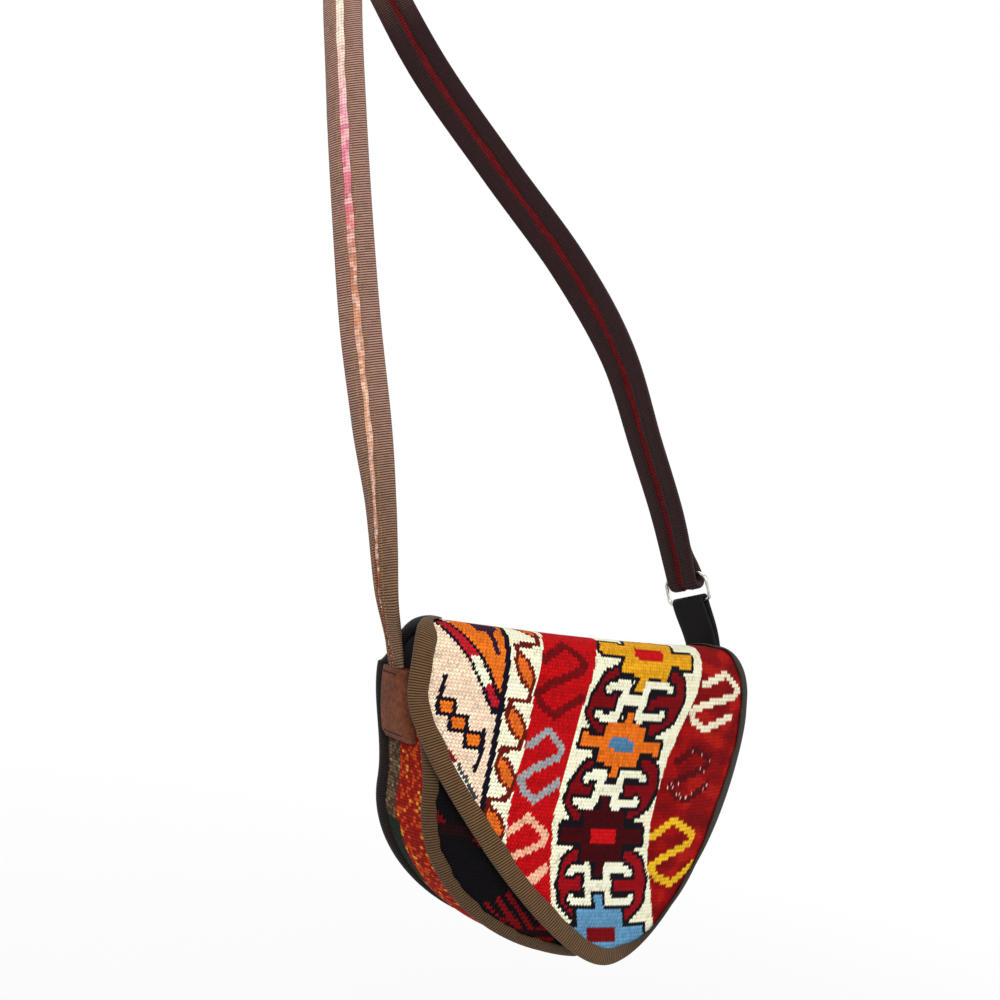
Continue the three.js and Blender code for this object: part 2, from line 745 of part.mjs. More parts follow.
function snapSocket() {
  const radius = snapDiameter / 2;
  const hole = snapPinDiameter / 2 + layerGap;
  const floor = snapSocketHeight - snapPinHeight - layerGap;
  const at = new THREE.Vector3(0, -bagDepth - frontCrown - halfKilim - snapSeat, -bellyDrop);
  const profile = [
    [0, 0],
    [radius, 0],
    [radius, snapSocketHeight],
    [hole, snapSocketHeight],
    [hole, floor],
    [0, floor],
  ];
  return snapBody(profile, at, new THREE.Vector3(0, -1, 0));
}

function snapStud() {
  const radius = snapDiameter / 2;
  const pin = snapPinDiameter / 2;
  const height = snapClear - snapSocketHeight - layerGap;
  const at = new THREE.Vector3(0, flapBellyY - liningBack + snapSeat, -bellyDrop);
  const profile = [
    [0, 0],
    [radius, 0],
    [radius, height],
    [pin, height],
    [pin, height + snapPinHeight],
    [0, height + snapPinHeight],
  ];
  return snapBody(profile, at, new THREE.Vector3(0, 1, 0));
}

// The assembled bag

const finish = (color, roughness, metalness = 0) => ({ color, roughness, metalness });
const patternedWool = finish(0xa8261f, 0.95);
const darkWool = finish(0x1d1a22, 0.95);
const redWool = finish(0x8a3a22, 0.95);
const blackCotton = finish(0x1b1a1c, 0.9);
const brownTape = finish(0x4a3527, 0.85);
const peachWool = finish(0xc07a52, 0.95);
const tanLeather = finish(0x5a3a28, 0.7);
const darkLeather = finish(0x2a211d, 0.6);
const steel = finish(0xb9bcc0, 0.25, 1);
const brass = finish(0xb08d4a, 0.35, 1);

const bag = new THREE.Group();

function addPiece(name, geometry, look) {
  const mesh = new THREE.Mesh(geometry, new THREE.MeshStandardMaterial(look));
  mesh.name = name;
  bag.add(mesh);
}

const foldedCloth = foldedGrid();
const frontCloth = frontGrid();
const gussetCloth = gussetGrid();

addPiece('back_and_flap_panel', clothLayer(foldedCloth, -halfKilim, halfKilim), patternedWool);
addPiece('front_panel', clothLayer(frontCloth, -halfKilim, halfKilim), darkWool);
addPiece('gusset', clothLayer(gussetCloth, -halfKilim, halfKilim), redWool);
addPiece('back_and_flap_lining', clothLayer(foldedCloth, liningBack, liningFace), blackCotton);
addPiece('front_lining', clothLayer(frontCloth, liningBack, liningFace), blackCotton);
addPiece('gusset_lining', clothLayer(gussetCloth, liningBack, liningFace), blackCotton);
addPiece('edge_tape', edgeTape(foldedCloth), brownTape);
addPiece('front_seam_tape', frontSeamTape(frontCloth), brownTape);
addPiece('mouth_tape', mouthTape(frontCloth), brownTape);
addPiece('strap_core', strapCore(), peachWool);
addPiece('strap_tape_front', strapTape(-1), brownTape);
addPiece('strap_tape_rear', strapTape(1), brownTape);
addPiece('strap_tab', strapTab(), tanLeather);
addPiece('ring_tab', ringTab(), darkLeather);
addPiece('d_ring', dRing(), steel);
addPiece('snap_socket', snapSocket(), brass);
addPiece('snap_stud', snapStud(), brass);

const highest = strapRoute.reduce((top, knot) => (knot.at[2] > top.at[2] ? knot : top));
const shoulderRest = point(highest.at);
shoulderRest.z -= strapHalfThickness;
bag.position.copy(shoulderRest).negate();
const part = new THREE.Group();
part.add(bag);

export default part;
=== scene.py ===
# %% [markdown]
# # A kilim crossbody bag
# The bag is sewn from flat-woven wool: one long panel is its back and folds over as its flap, a dark
# panel is its front, and a strip of wool, the gusset, joins them. Brown ribbed tape binds every edge.
# This lesson loads the solid model as a fixed frame and dresses each solid with cloth, tape, leather
# and metal. All lengths are in millimetres from the middle of the fold until the last moment, because
# a maker would measure the bag from there; one small function then carries them into the frame.

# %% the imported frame
import math

import bmesh
import bpy
import numpy as np
from mathutils import Matrix, Vector


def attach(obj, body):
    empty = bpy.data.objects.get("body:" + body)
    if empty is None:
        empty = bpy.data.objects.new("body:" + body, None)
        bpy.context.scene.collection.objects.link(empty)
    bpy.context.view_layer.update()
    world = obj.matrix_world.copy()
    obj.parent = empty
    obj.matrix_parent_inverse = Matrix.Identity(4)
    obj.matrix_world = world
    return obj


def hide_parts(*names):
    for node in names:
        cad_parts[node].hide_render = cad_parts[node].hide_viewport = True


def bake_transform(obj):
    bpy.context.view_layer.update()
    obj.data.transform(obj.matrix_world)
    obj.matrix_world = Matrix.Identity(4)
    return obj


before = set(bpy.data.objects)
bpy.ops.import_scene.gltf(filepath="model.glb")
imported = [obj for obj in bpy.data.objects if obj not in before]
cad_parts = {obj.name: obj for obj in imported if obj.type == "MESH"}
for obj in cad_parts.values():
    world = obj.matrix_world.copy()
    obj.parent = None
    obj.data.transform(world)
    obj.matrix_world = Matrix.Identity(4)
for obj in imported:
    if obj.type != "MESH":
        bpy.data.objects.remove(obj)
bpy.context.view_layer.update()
scene = bpy.context.scene
scene.view_settings.view_transform = "Standard"
FOLD_IN_FRAME = np.array([139.0, -182.0, -434.65])


def to_frame(points):
    return (np.asarray(points, float) + FOLD_IN_FRAME) / 1000


# %% [markdown]
# ## The camera
# The bag is seen from its front left corner, nearly level, and it leans a little in the picture. A
# camera could be aimed with a constraint, but a turn, a rise and a roll written as numbers say more
# plainly how the picture was taken. The three directions of the camera are built from those angles
# and become the columns of its matrix.

# %% camera
VIEW_TURN, VIEW_RISE, VIEW_ROLL = (math.radians(a) for a in (37.2, 0.92, 9.62))
FOLD_FROM_CAMERA = np.array([46.5, 85.25, 1137.8])
SENSOR, LENS = 36, 64.08
level_right = np.array([math.cos(VIEW_TURN), -math.sin(VIEW_TURN), 0.0])
level_ahead = np.array([math.sin(VIEW_TURN), math.cos(VIEW_TURN), 0.0])
plumb = np.array([0.0, 0.0, 1.0])
ahead = level_ahead * math.cos(VIEW_RISE) - plumb * math.sin(VIEW_RISE)
over = plumb * math.cos(VIEW_RISE) + level_ahead * math.sin(VIEW_RISE)
right = level_right * math.cos(VIEW_ROLL) + over * math.sin(VIEW_ROLL)
down = level_right * math.sin(VIEW_ROLL) - over * math.cos(VIEW_ROLL)
eye = -np.stack([right, down, ahead], 1) @ FOLD_FROM_CAMERA
camera = bpy.data.objects.new("camera", bpy.data.cameras.new("camera"))
scene.collection.objects.link(camera)
camera.data.sensor_width, camera.data.lens = SENSOR, LENS
camera_columns = np.eye(4)
camera_columns[:3, 0], camera_columns[:3, 1], camera_columns[:3, 2] = right, -down, -ahead
camera_columns[:3, 3] = to_frame(eye)
camera.matrix_world = Matrix(camera_columns.tolist())
scene.camera = camera
print("camera at", [round(v, 3) for v in camera.location])

# %% [markdown]
# ## Light, floor and background
# The bag hangs in front of plain white under broad, soft light. Four large lamps light it from the
# front left, the front right, above and behind. The white comes from what the camera sees of the world
# and the floor, through the Light Path node, and not from stronger lamps, so the wool keeps its
# colours. The floor lies well below the hanging bag and keeps its soft shadow. It turns whiter with
# the distance, so that no horizon shows. One helper makes a node with its settings, values and links.

# %% studio
FLOOR_DROP, FLOOR_SIZE, WHITE_FROM = 0.98, 12, 2.4
LAMPS = {
    "key_lamp": ((-1.5, -1.9, 0.75), 1.3, 47),
    "side_lamp": ((1.5, -1.5, 0.1), 1.6, 12),
    "top_lamp": ((0.1, 0.3, 1.5), 1.6, 16),
    "back_lamp": ((0.6, 1.8, 0.5), 1.6, 16),
}
AIM = Vector((0.14, -0.2, -0.4))
for lamp_name, (lamp_place, lamp_size, lamp_power) in LAMPS.items():
    lamp = bpy.data.objects.new(lamp_name, bpy.data.lights.new(lamp_name, "AREA"))
    lamp.data.size, lamp.data.energy = lamp_size, lamp_power
    lamp.location = lamp_place
    lamp.rotation_euler = (AIM - Vector(lamp_place)).to_track_quat("-Z", "Y").to_euler()
    scene.collection.objects.link(lamp)


def fill(tree, made, inputs):
    """Give a node's inputs, by name or number, their values or the sockets that feed them"""
    for key, value in inputs.items():
        if isinstance(value, bpy.types.NodeSocket):
            tree.links.new(value, made.inputs[key])
        else:
            made.inputs[key].default_value = value


def node(tree, kind, inputs=None, **settings):
    made = tree.nodes.new(kind)
    for key, value in settings.items():
        setattr(made, key, value)
    fill(tree, made, inputs or {})
    return made


def maths(tree, operation, *values):
    return node(tree, "ShaderNodeMath", dict(enumerate(values)), operation=operation).outputs[0]


def new_look(name, shader_inputs):
    look = bpy.data.materials.new(name)
    look.use_nodes = True
    tree = look.node_tree
    shader = tree.nodes["Principled BSDF"]
    fill(tree, shader, shader_inputs)
    return look, tree, shader


def seen_directly(tree):
    """1 for what the camera, a mirror or glass sees, 0 for light that falls on a surface"""
    rays = node(tree, "ShaderNodeLightPath").outputs
    mirrored = maths(tree, "MAXIMUM", rays["Is Camera Ray"], rays["Is Glossy Ray"])
    return maths(tree, "MAXIMUM", mirrored, rays["Is Transmission Ray"])


world = bpy.data.worlds.new("white_room")
scene.world = world
world.use_nodes = True
sky = world.node_tree
sky.nodes.clear()
room_light = node(sky, "ShaderNodeBackground", {"Color": (0.93, 0.95, 1, 1), "Strength": 0.3})
white = node(sky, "ShaderNodeBackground", {"Color": (1, 1, 1, 1), "Strength": 1})
shown = {0: seen_directly(sky), 1: room_light.outputs[0], 2: white.outputs[0]}
choice = node(sky, "ShaderNodeMixShader", shown)
node(sky, "ShaderNodeOutputWorld", {"Surface": choice.outputs[0]})

pale = {"Base Color": (0.86, 0.86, 0.86, 1), "Roughness": 0.9}
floor_look, floor_tree, floor_shader = new_look("pale_floor", pale)
floor_spot = node(floor_tree, "ShaderNodeTexCoord").outputs["Object"]
away = node(floor_tree, "ShaderNodeVectorMath", {0: floor_spot}, operation="LENGTH").outputs["Value"]
whiter = node(
    floor_tree, "ShaderNodeMapRange",
    {"Value": away, "From Min": FLOOR_DROP, "From Max": WHITE_FROM, "To Min": 0.72, "To Max": 1.0},
    interpolation_type="SMOOTHSTEP",
)
white_share = maths(floor_tree, "MULTIPLY", seen_directly(floor_tree), whiter.outputs["Result"])
glow = node(floor_tree, "ShaderNodeEmission")
floor_mix = node(
    floor_tree, "ShaderNodeMixShader", {0: white_share, 1: floor_shader.outputs[0], 2: glow.outputs[0]}
)
fill(floor_tree, floor_tree.nodes["Material Output"], {"Surface": floor_mix.outputs[0]})

floor_mesh = bpy.data.meshes.new("floor")
floor_bm = bmesh.new()
bmesh.ops.create_grid(floor_bm, x_segments=1, y_segments=1, size=FLOOR_SIZE)
bmesh.ops.translate(floor_bm, verts=floor_bm.verts, vec=(0, 0, -FLOOR_DROP))
floor_bm.to_mesh(floor_mesh)
floor_bm.free()
floor_mesh.materials.append(floor_look)
floor = bpy.data.objects.new("floor", floor_mesh)
scene.collection.objects.link(floor)
print("lamps:", len(LAMPS), "floor at", -FLOOR_DROP)

# %% [markdown]
# ## The cut of the cloth
# The panels are cut flat and then bent, so their shapes are kept as a maker's paper pattern would:
# half widths against lengths along the cloth, from Bezier curves. `Line` is a curve cut into short
# chords that can be asked for the point at a share of its length.

# %% sizes and curves
KILIM = 3.0
LINING_FACE = -1.8
MOUTH_HALF, BODY_HALF, WIDEST_DROP, BOTTOM_RISE = 122.0, 111.0, 103.0, 82.0
MOUTH_DROP, GUSSET_DROP, BELLY_DROP = 30.0, 32.0, 128.0
MOUTH_DEPTH, BAG_DEPTH, FRONT_CROWN, BACK_HOLLOW, FLANGE = 47.0, 54.0, 12.0, 21.0, 8.0
BACK_FLANGE, FRONT_FLANGE = 3.0, 5.0
PANEL_BOTTOM = WIDEST_DROP + BOTTOM_RISE + FLANGE
FOLD_HALF, FLAP_HALF, FLAP_WIDEST, FLAP_LENGTH = 115.0, 137.0, 52.0, 203.0
FLAP_BLUNT, FLAP_ROUND, STAND_OFF, ROLL_TURN = 42.0, 40.0, 10.5, 0.55
FALL_BACK, FALL_START, TIP_FLARE, ROLL_DROP, CREST_BACK = 20.0, 20.0, 4.0, 26.0, 33.0


class Line:
    def __init__(self, points):
        self.points = np.asarray(points, float)
        steps = np.linalg.norm(np.diff(self.points, axis=0), axis=1)
        self.runs = np.concatenate([[0], np.cumsum(steps)])
        self.length = self.runs[-1]

    def at(self, share):
        run = np.clip(share, 0, 1) * self.length
        columns = [np.interp(run, self.runs, self.points[:, k]) for k in range(self.points.shape[1])]
        return np.stack(columns, -1)

    def way(self, share, reach=0.004, closed=False):
        """Direction at a share of the length, from a little before it to a little after it"""
        after, before = share + reach, share - reach
        return unit(self.at(after % 1) - self.at(before % 1) if closed else self.at(after) - self.at(before))


def bezier(a, b, c, d, steps=120):
    t = np.linspace(0, 1, steps + 1)[:, None]
    a, b, c, d = (np.asarray(p, float) for p in (a, b, c, d))
    return (1 - t) ** 3 * a + 3 * (1 - t) ** 2 * t * b + 3 * (1 - t) * t * t * c + t ** 3 * d


def smooth(value, low, high):
    t = np.clip((value - low) / (high - low), 0, 1)
    return t * t * (3 - 2 * t)


def unit(vector):
    return vector / np.linalg.norm(vector, axis=-1, keepdims=True)


def joined(*pieces):
    return np.concatenate([pieces[0]] + [piece[1:] for piece in pieces[1:]])


def both_sides(half, first):
    """A half outline and its mirror image, from the side that comes first"""
    return joined(half * [first, 1], half[::-1] * [-first, 1])


def hollow(x):
    """How far the sides of the bag lie behind its middle"""
    return BACK_HOLLOW * (x / BODY_HALF) ** 2


def depth_at(z):
    return MOUTH_DEPTH + (BAG_DEPTH - MOUTH_DEPTH) * smooth(-z, MOUTH_DROP, BELLY_DROP)


def body_side(top_drop, outset):
    top, widest = np.array([MOUTH_HALF + outset, -top_drop]), np.array([BODY_HALF + outset, -WIDEST_DROP])
    bend = np.array([0, (top[1] - widest[1]) / 3])
    return bezier(top, top - bend, widest + bend, widest)


def body_bottom(outset):
    angle = np.linspace(0, -math.pi / 2, 161)
    across = (BODY_HALF + outset) * np.cos(angle)
    return np.stack([across, -WIDEST_DROP + (BOTTOM_RISE + outset) * np.sin(angle)], 1)


FLAP_FRONT = -(MOUTH_DEPTH + STAND_OFF)
FLAP_BELLY = -(BAG_DEPTH + FRONT_CROWN + STAND_OFF)
belly_pull = (BELLY_DROP - ROLL_DROP) / 3
belly_run = FLAP_FRONT - FLAP_BELLY
SPARE = 12.0
back_line = np.array([[0, -PANEL_BOTTOM - SPARE], [0, -ROLL_DROP]])
back_roll = bezier((0, -ROLL_DROP), (0, -ROLL_DROP / 3), (-CREST_BACK / 3, 0), (-CREST_BACK, 0))
front_roll = bezier(
    (-CREST_BACK, 0),
    (-CREST_BACK + ROLL_TURN * (FLAP_FRONT + CREST_BACK), 0),
    (FLAP_FRONT + belly_run / 6, -ROLL_DROP / 2),
    (FLAP_FRONT, -ROLL_DROP),
)
front_fall = bezier(
    (FLAP_FRONT, -ROLL_DROP),
    (FLAP_FRONT - belly_run / 3, -ROLL_DROP - belly_pull),
    (FLAP_BELLY, -BELLY_DROP + belly_pull),
    (FLAP_BELLY, -BELLY_DROP),
)
tail = FLAP_LENGTH - Line(front_roll).length - Line(front_fall).length
skirt = bezier(
    (FLAP_BELLY, -BELLY_DROP),
    (FLAP_BELLY, -BELLY_DROP - tail / 3),
    (FLAP_BELLY - TIP_FLARE / 2, -BELLY_DROP - tail * 2 / 3),
    (FLAP_BELLY - TIP_FLARE, -BELLY_DROP - tail),
)
spare_end = np.stack([skirt[-1], skirt[-1] + SPARE * unit(skirt[-1] - skirt[-2])])
fold = Line(joined(back_line, back_roll, front_roll, front_fall, skirt, spare_end))
CREST_AT = Line(joined(back_line, back_roll)).length


def folded(x, run):
    """Middle of the back and flap cloth: x across the bag, run along the cloth from the crest"""
    on_fold = fold.at((CREST_AT + run) / fold.length)
    fall = FALL_BACK * (x / FLAP_HALF) ** 2 * smooth(run, FALL_START, FLAP_LENGTH)
    return np.stack([x, on_fold[..., 0] + hollow(x) + fall, on_fold[..., 1]], -1)


def front_face(x, z):
    """Middle of the front panel"""
    half = np.interp(-z, -front_half[:, 1], front_half[:, 0])
    share = np.clip(x / np.maximum(half, 1), -1, 1)
    v = np.clip((-z - MOUTH_DROP) / (PANEL_BOTTOM - MOUTH_DROP), 0, 1)
    belly = (BELLY_DROP - MOUTH_DROP) / (PANEL_BOTTOM - MOUTH_DROP)
    swell = FRONT_CROWN * (1 - share ** 2) * np.sin(math.pi * v ** (math.log(0.5) / math.log(belly)))
    return np.stack([x, hollow(x) - depth_at(z) - swell, z], -1)


front_half = joined(body_side(MOUTH_DROP, FRONT_FLANGE), body_bottom(FRONT_FLANGE))


def off_cloth(place, a, b, height, outward=1.0, step=0.4):
    """Point over a cloth surface, at a height along its outward normal"""
    here = place(a, b)
    along_a = place(a + step, b) - place(a - step, b)
    along_b = place(a, b + step) - place(a, b - step)
    normal = np.cross(along_b, along_a) * outward
    normal /= np.maximum(np.linalg.norm(normal, axis=-1), 1e-9)[..., None]
    return here + normal * np.asarray(height)[..., None]


print("cloth from back seam to flap tip:", round(fold.length), "mm, flap", round(2 * FLAP_HALF), "mm wide")

# %% [markdown]
# ## A mesh from rows and columns
# Tape, strap, gusset and ring are all strips: rows of places along a line, each with the same few
# places across. The grid operator makes such a strip flat, and each vertex is then moved to its own
# place. A strip that closes on itself is welded where its ends meet. A UV map measured along the cloth
# goes with it, so that ribs and stitches follow the strip round its bends.


def cloth_map(along, across):
    """The cloth map of a plain strip, from its lengths along and across"""
    return np.stack(np.broadcast_arrays(along[:, None], across), -1)


def strip(rows_of_points, map_rows, turn_over=False, weld=False, paint=None):
    rows, columns = rows_of_points.shape[:2]
    bm = bmesh.new()
    bmesh.ops.create_grid(bm, x_segments=columns - 1, y_segments=rows - 1, size=1)
    bm.verts.index_update()
    flat = np.array([vert.co[:2] for vert in bm.verts])
    column = np.rint((flat[:, 0] + 1) / 2 * (columns - 1)).astype(int)
    row = np.rint((flat[:, 1] + 1) / 2 * (rows - 1)).astype(int)
    on_cloth = map_rows[row, column]
    lay_map(bm, on_cloth, paint(on_cloth[corners_of(bm)].mean(axis=1)) if paint else None)
    for vert, place in zip(bm.verts, to_frame(rows_of_points[row, column])):
        vert.co = place
    if weld:
        bmesh.ops.remove_doubles(bm, verts=bm.verts, dist=1e-6)
    if turn_over:
        bmesh.ops.reverse_faces(bm, faces=bm.faces)
    return bm


def corners_of(bm):
    return np.array([[vert.index for vert in face.verts] for face in bm.faces])


def lay_map(bm, on_cloth, colours=None):
    """The cloth map for every vertex and, on painted cloth, one yarn colour for every face"""
    cloth = bm.loops.layers.uv.new("cloth")
    yarn = bm.loops.layers.float_color.new("yarn") if colours is not None else None
    for k, face in enumerate(bm.faces):
        face.smooth = True
        for loop in face.loops:
            loop[cloth].uv = on_cloth[loop.vert.index]
            if yarn:
                loop[yarn] = (*colours[k], 1)


def piece(name, bm, look, body="bag", nodes=(), slot=None, thickness=0.0, offset=-1.0):
    mesh = bpy.data.meshes.new(name)
    bm.to_mesh(mesh)
    bm.free()
    mesh.materials.append(look)
    made = bpy.data.objects.new(name, mesh)
    scene.collection.objects.link(made)
    if thickness:
        solid = made.modifiers.new("thickness", "SOLIDIFY")
        solid.thickness = thickness / 1000
        solid.offset = offset
    if body:
        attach(made, body)
    if nodes:
        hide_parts(*nodes)
    print(name, len(mesh.polygons), "faces")
    return made


# %% [markdown]
# ## Shared effects: stitch, rib and grain
# The wool shows rows of small slanted stitches, and neighbouring rows slant opposite ways, like plaits.
# The tape is grosgrain: fine ribs across its length. Leather has a grain of small cells. Each effect is
# used by several materials, so each is a node group that puts out a height for the bump and a shade for
# the colour. The stitch and rib groups read the cloth map; the grain reads object coordinates. A small
# class lets the sums be written as on paper; each sign makes one Math node.

# %% node groups
class Value:
    """The number that a socket puts out"""

    def __init__(self, tree, socket):
        self.tree, self.socket = tree, socket

    def op(self, operation, *others):
        values = [getattr(other, "socket", other) for other in (self, *others)]
        return Value(self.tree, maths(self.tree, operation, *values))

    def __add__(self, other):
        return self.op("ADD", other)

    def __sub__(self, other):
        return self.op("SUBTRACT", other)

    def __mul__(self, other):
        return self.op("MULTIPLY", other)

    def __truediv__(self, other):
        return self.op("DIVIDE", other)

    def __rsub__(self, other):
        return Value(self.tree, maths(self.tree, "SUBTRACT", other, self.socket))


def parts_of(tree, place):
    split = node(tree, "ShaderNodeSeparateXYZ", {0: place}).outputs
    return Value(tree, split[0]), Value(tree, split[1])


def noise_at(tree, place, scale, detail):
    cloud = node(tree, "ShaderNodeTexNoise", {"Vector": place, "Scale": scale, "Detail": detail})
    return Value(tree, cloud.outputs["Fac"])


def hump(value, power):
    """1 in the middle of each unit step and 0 at its ends"""
    return 1.0 - ((value.op("FRACT") - 0.5) * 2.0).op("ABSOLUTE").op("POWER", power)


def plaited_stitch(tree, place, fuzz):
    along, across = parts_of(tree, place)
    bump = hump(across, 2.4) * (hump(along * 0.5, 3.0) * 0.65 + 0.35)
    loose = (noise_at(tree, place, 3.2, 3.0) - 0.5) * fuzz
    hole = (1.0 - hump(across, 3.0)) * (1.0 - hump(along * 0.5, 5.0))
    return bump + loose * 0.5, bump * 0.3 + 0.92 + hole * -0.55 + loose * 0.6


def grosgrain_rib(tree, place, pitch):
    along, across = parts_of(tree, place)
    step = along / pitch
    yarn = hump(across * 1.9 + step.op("FLOOR") * 0.5, 4.0)
    bump = hump(step, 1.4) * (yarn * 0.25 + 0.75)
    lit = (bump * 1.67 - 0.43).op("MAXIMUM", 0.0).op("MINIMUM", 1.0)
    return bump, lit * 1.9 + 0.03 + noise_at(tree, place, 0.11, 3.0) * 0.22


def leather_grain(tree, place, scale):
    cells = node(
        tree, "ShaderNodeTexVoronoi", {"Vector": place, "Scale": scale.socket}, feature="DISTANCE_TO_EDGE"
    )
    pore = (Value(tree, cells.outputs["Distance"]) * 5.0).op("MINIMUM", 1.0)
    nap = noise_at(tree, place, 420.0, 5.0)
    return pore * 0.5 + nap, nap * 1.8 + noise_at(tree, place, 60.0, 3.0) - 0.4


def new_group(effect, setting, usual):
    """A node group that reads a place and one setting and puts out a height and a shade"""
    group = bpy.data.node_groups.new(effect.__name__, "ShaderNodeTree")
    ins, outs = (("Vector", "Vector"), (setting, "Float")), (("Height", "Float"), ("Shade", "Float"))
    for way, sockets in (("INPUT", ins), ("OUTPUT", outs)):
        for label, kind in sockets:
            group.interface.new_socket(name=label, in_out=way, socket_type="NodeSocket" + kind)
    group.interface.items_tree[setting].default_value = usual
    given = node(group, "NodeGroupInput").outputs
    height, shade = effect(group, given["Vector"], Value(group, given[setting]))
    node(group, "NodeGroupOutput", {"Height": height.socket, "Shade": shade.socket})
    return group


stitch_group = new_group(plaited_stitch, "Fuzz", 0.9)
rib_group = new_group(grosgrain_rib, "Pitch", 1.6)
grain_group = new_group(leather_grain, "Scale", 900.0)
print("groups:", [g.name for g in bpy.data.node_groups])

# %% [markdown]
# ## Finishes
# Wool and tape take their colour from the yarn painted on each face; cotton, leather and thread have one
# dyed colour. All multiply it by the group's shade, which darkens the gaps between stitches, ribs and
# pores.

# %% finishes
def dye(r, g, b):
    """A colour as seen on screen, 0 to 255, as the linear values that shaders use"""
    seen = np.array([r, g, b], float) / 255
    return np.where(seen <= 0.04045, seen / 12.92, ((seen + 0.055) / 1.055) ** 2.4)


def finish(name, group, colour=None, roughness=0.9, bump=0.3, depth=0.4, sheen=0.0, gloss=0.2, **settings):
    feel = {"Roughness": roughness, "Sheen Weight": sheen, "Specular IOR Level": gloss}
    look, tree, shader = new_look(name, feel)
    if group is grain_group:
        place = node(tree, "ShaderNodeTexCoord").outputs["Object"]
    else:
        place = node(tree, "ShaderNodeUVMap", uv_map="cloth").outputs[0]
    effect = node(tree, "ShaderNodeGroup", {"Vector": place, **settings}, node_tree=group).outputs
    if colour is None:
        yarn = node(tree, "ShaderNodeAttribute", attribute_name="yarn").outputs["Color"]
    else:
        yarn = (*dye(*colour), 1)
    shaded = {0: 1, 6: yarn, 7: effect["Shade"]}
    tint = node(tree, "ShaderNodeMix", shaded, data_type="RGBA", blend_type="MULTIPLY")
    raised = {"Strength": bump, "Distance": depth / 1000, "Height": effect["Height"]}
    relief = node(tree, "ShaderNodeBump", raised)
    fill(tree, shader, {"Base Color": tint.outputs[2], "Normal": relief.outputs[0]})
    return look


wool = finish("kilim_wool", stitch_group, None, 0.95, 0.9, 0.9, gloss=0.1)
cord_wool = finish("strap_wool", stitch_group, None, 0.95, 0.9, 0.7, gloss=0.1)
tape_look = finish("brown_grosgrain", rib_group, None, 0.8, 0.9, 0.5, 0.05)
strap_tape_look = finish("strap_grosgrain", rib_group, None, 0.8, 0.9, 0.45, 0.05, Pitch=1.55)
cotton = finish("lining_cotton", rib_group, (30, 28, 31), 0.85, 0.4, 0.15, 0.05, Pitch=0.8)
suede = finish("tan_suede", grain_group, (104, 57, 36), 0.9, 0.5, 0.3, 0.05, Scale=1500.0)
dark_leather = finish("dark_leather", grain_group, (13, 9, 9), 0.65, 0.35, 0.2, gloss=0.12, Scale=1100.0)
dark_thread = finish("dark_thread", grain_group, (38, 18, 16), 0.7, 0.3, 0.1, Scale=2500.0)
thread_look = finish("brown_thread", grain_group, (150, 108, 70), 0.7, 0.3, 0.1, 0.05, Scale=2500.0)
print("finishes:", len(bpy.data.materials))

# %% [markdown]
# ## Drawing on cloth
# A weaver draws with whole stitches, so every slanted line becomes a flight of small steps. The pattern
# could be an image, but an image is neither sharp nor the weaver's own way. Here each motif is a short
# list of corners in millimetres on the flat cloth. A stitch takes the colour of the last motif that
# covers its middle, and a dark outline is the same test with a little more reach.

# %% patches, lines and motifs
def reach_to(points, corners, closed):
    """Distance from each point to a line through the corners"""
    corners = np.asarray(corners, float)
    ends = np.roll(corners, -1, axis=0) if closed else corners[1:]
    starts = corners if closed else corners[:-1]
    nearest = np.full(len(points), 1e9)
    for a, b in zip(starts, ends):
        span = b - a
        share = np.clip((points - a) @ span / max(span @ span, 1e-9), 0, 1)
        nearest = np.minimum(nearest, np.linalg.norm(points - a - share[:, None] * span, axis=1))
    return nearest


def within(points, corners):
    """True for the points inside a closed outline"""
    corners = np.asarray(corners, float)
    inside = np.zeros(len(points), bool)
    x, y = points[:, 0], points[:, 1]
    for (ax, ay), (bx, by) in zip(corners, np.roll(corners, -1, axis=0)):
        crosses = (ay > y) != (by > y)
        at = ax + (y - ay) * (bx - ax) / (by - ay if by != ay else 1e-9)
        inside ^= crosses & (x < at)
    return inside


def cover(points, shape):
    """How far each point lies outside a shape: a patch of corners, or a line with a width"""
    width, corners = shape
    if width:
        return reach_to(points, corners, False) - width / 2
    edge = reach_to(points, corners, True)
    return np.where(within(points, corners), -edge, edge)


def draw(canvas, shapes, yarn, outline=0.0, ink=(16, 10, 18)):
    """Shapes in one yarn, with or without an outline; a canvas is the points and their colours"""
    points, colours = canvas
    gaps = np.min([cover(points, shape) for shape in shapes], axis=0)
    if outline:
        colours[gaps < outline] = dye(*ink)
    colours[gaps < 0] = dye(*yarn)


def patch(*corners):
    return 0.0, corners


def line(width, *corners):
    return width, corners


# %% [markdown]
# The bag's motifs are old ones that many weavers share: a stepped medallion, a pair of hooks round an
# H, and an S or dragon. Each is written once in shares of its own half width and half height, and then
# placed by its middle, an across direction and an along direction, because cloth cut and bent on the
# slant shears every motif a little.

# %% medallion, hooks and S
def placed(corners, middle, across, along):
    middle, across, along = np.array(middle), np.array(across), np.array(along)
    return [middle + a * across + b * along for a, b in corners]


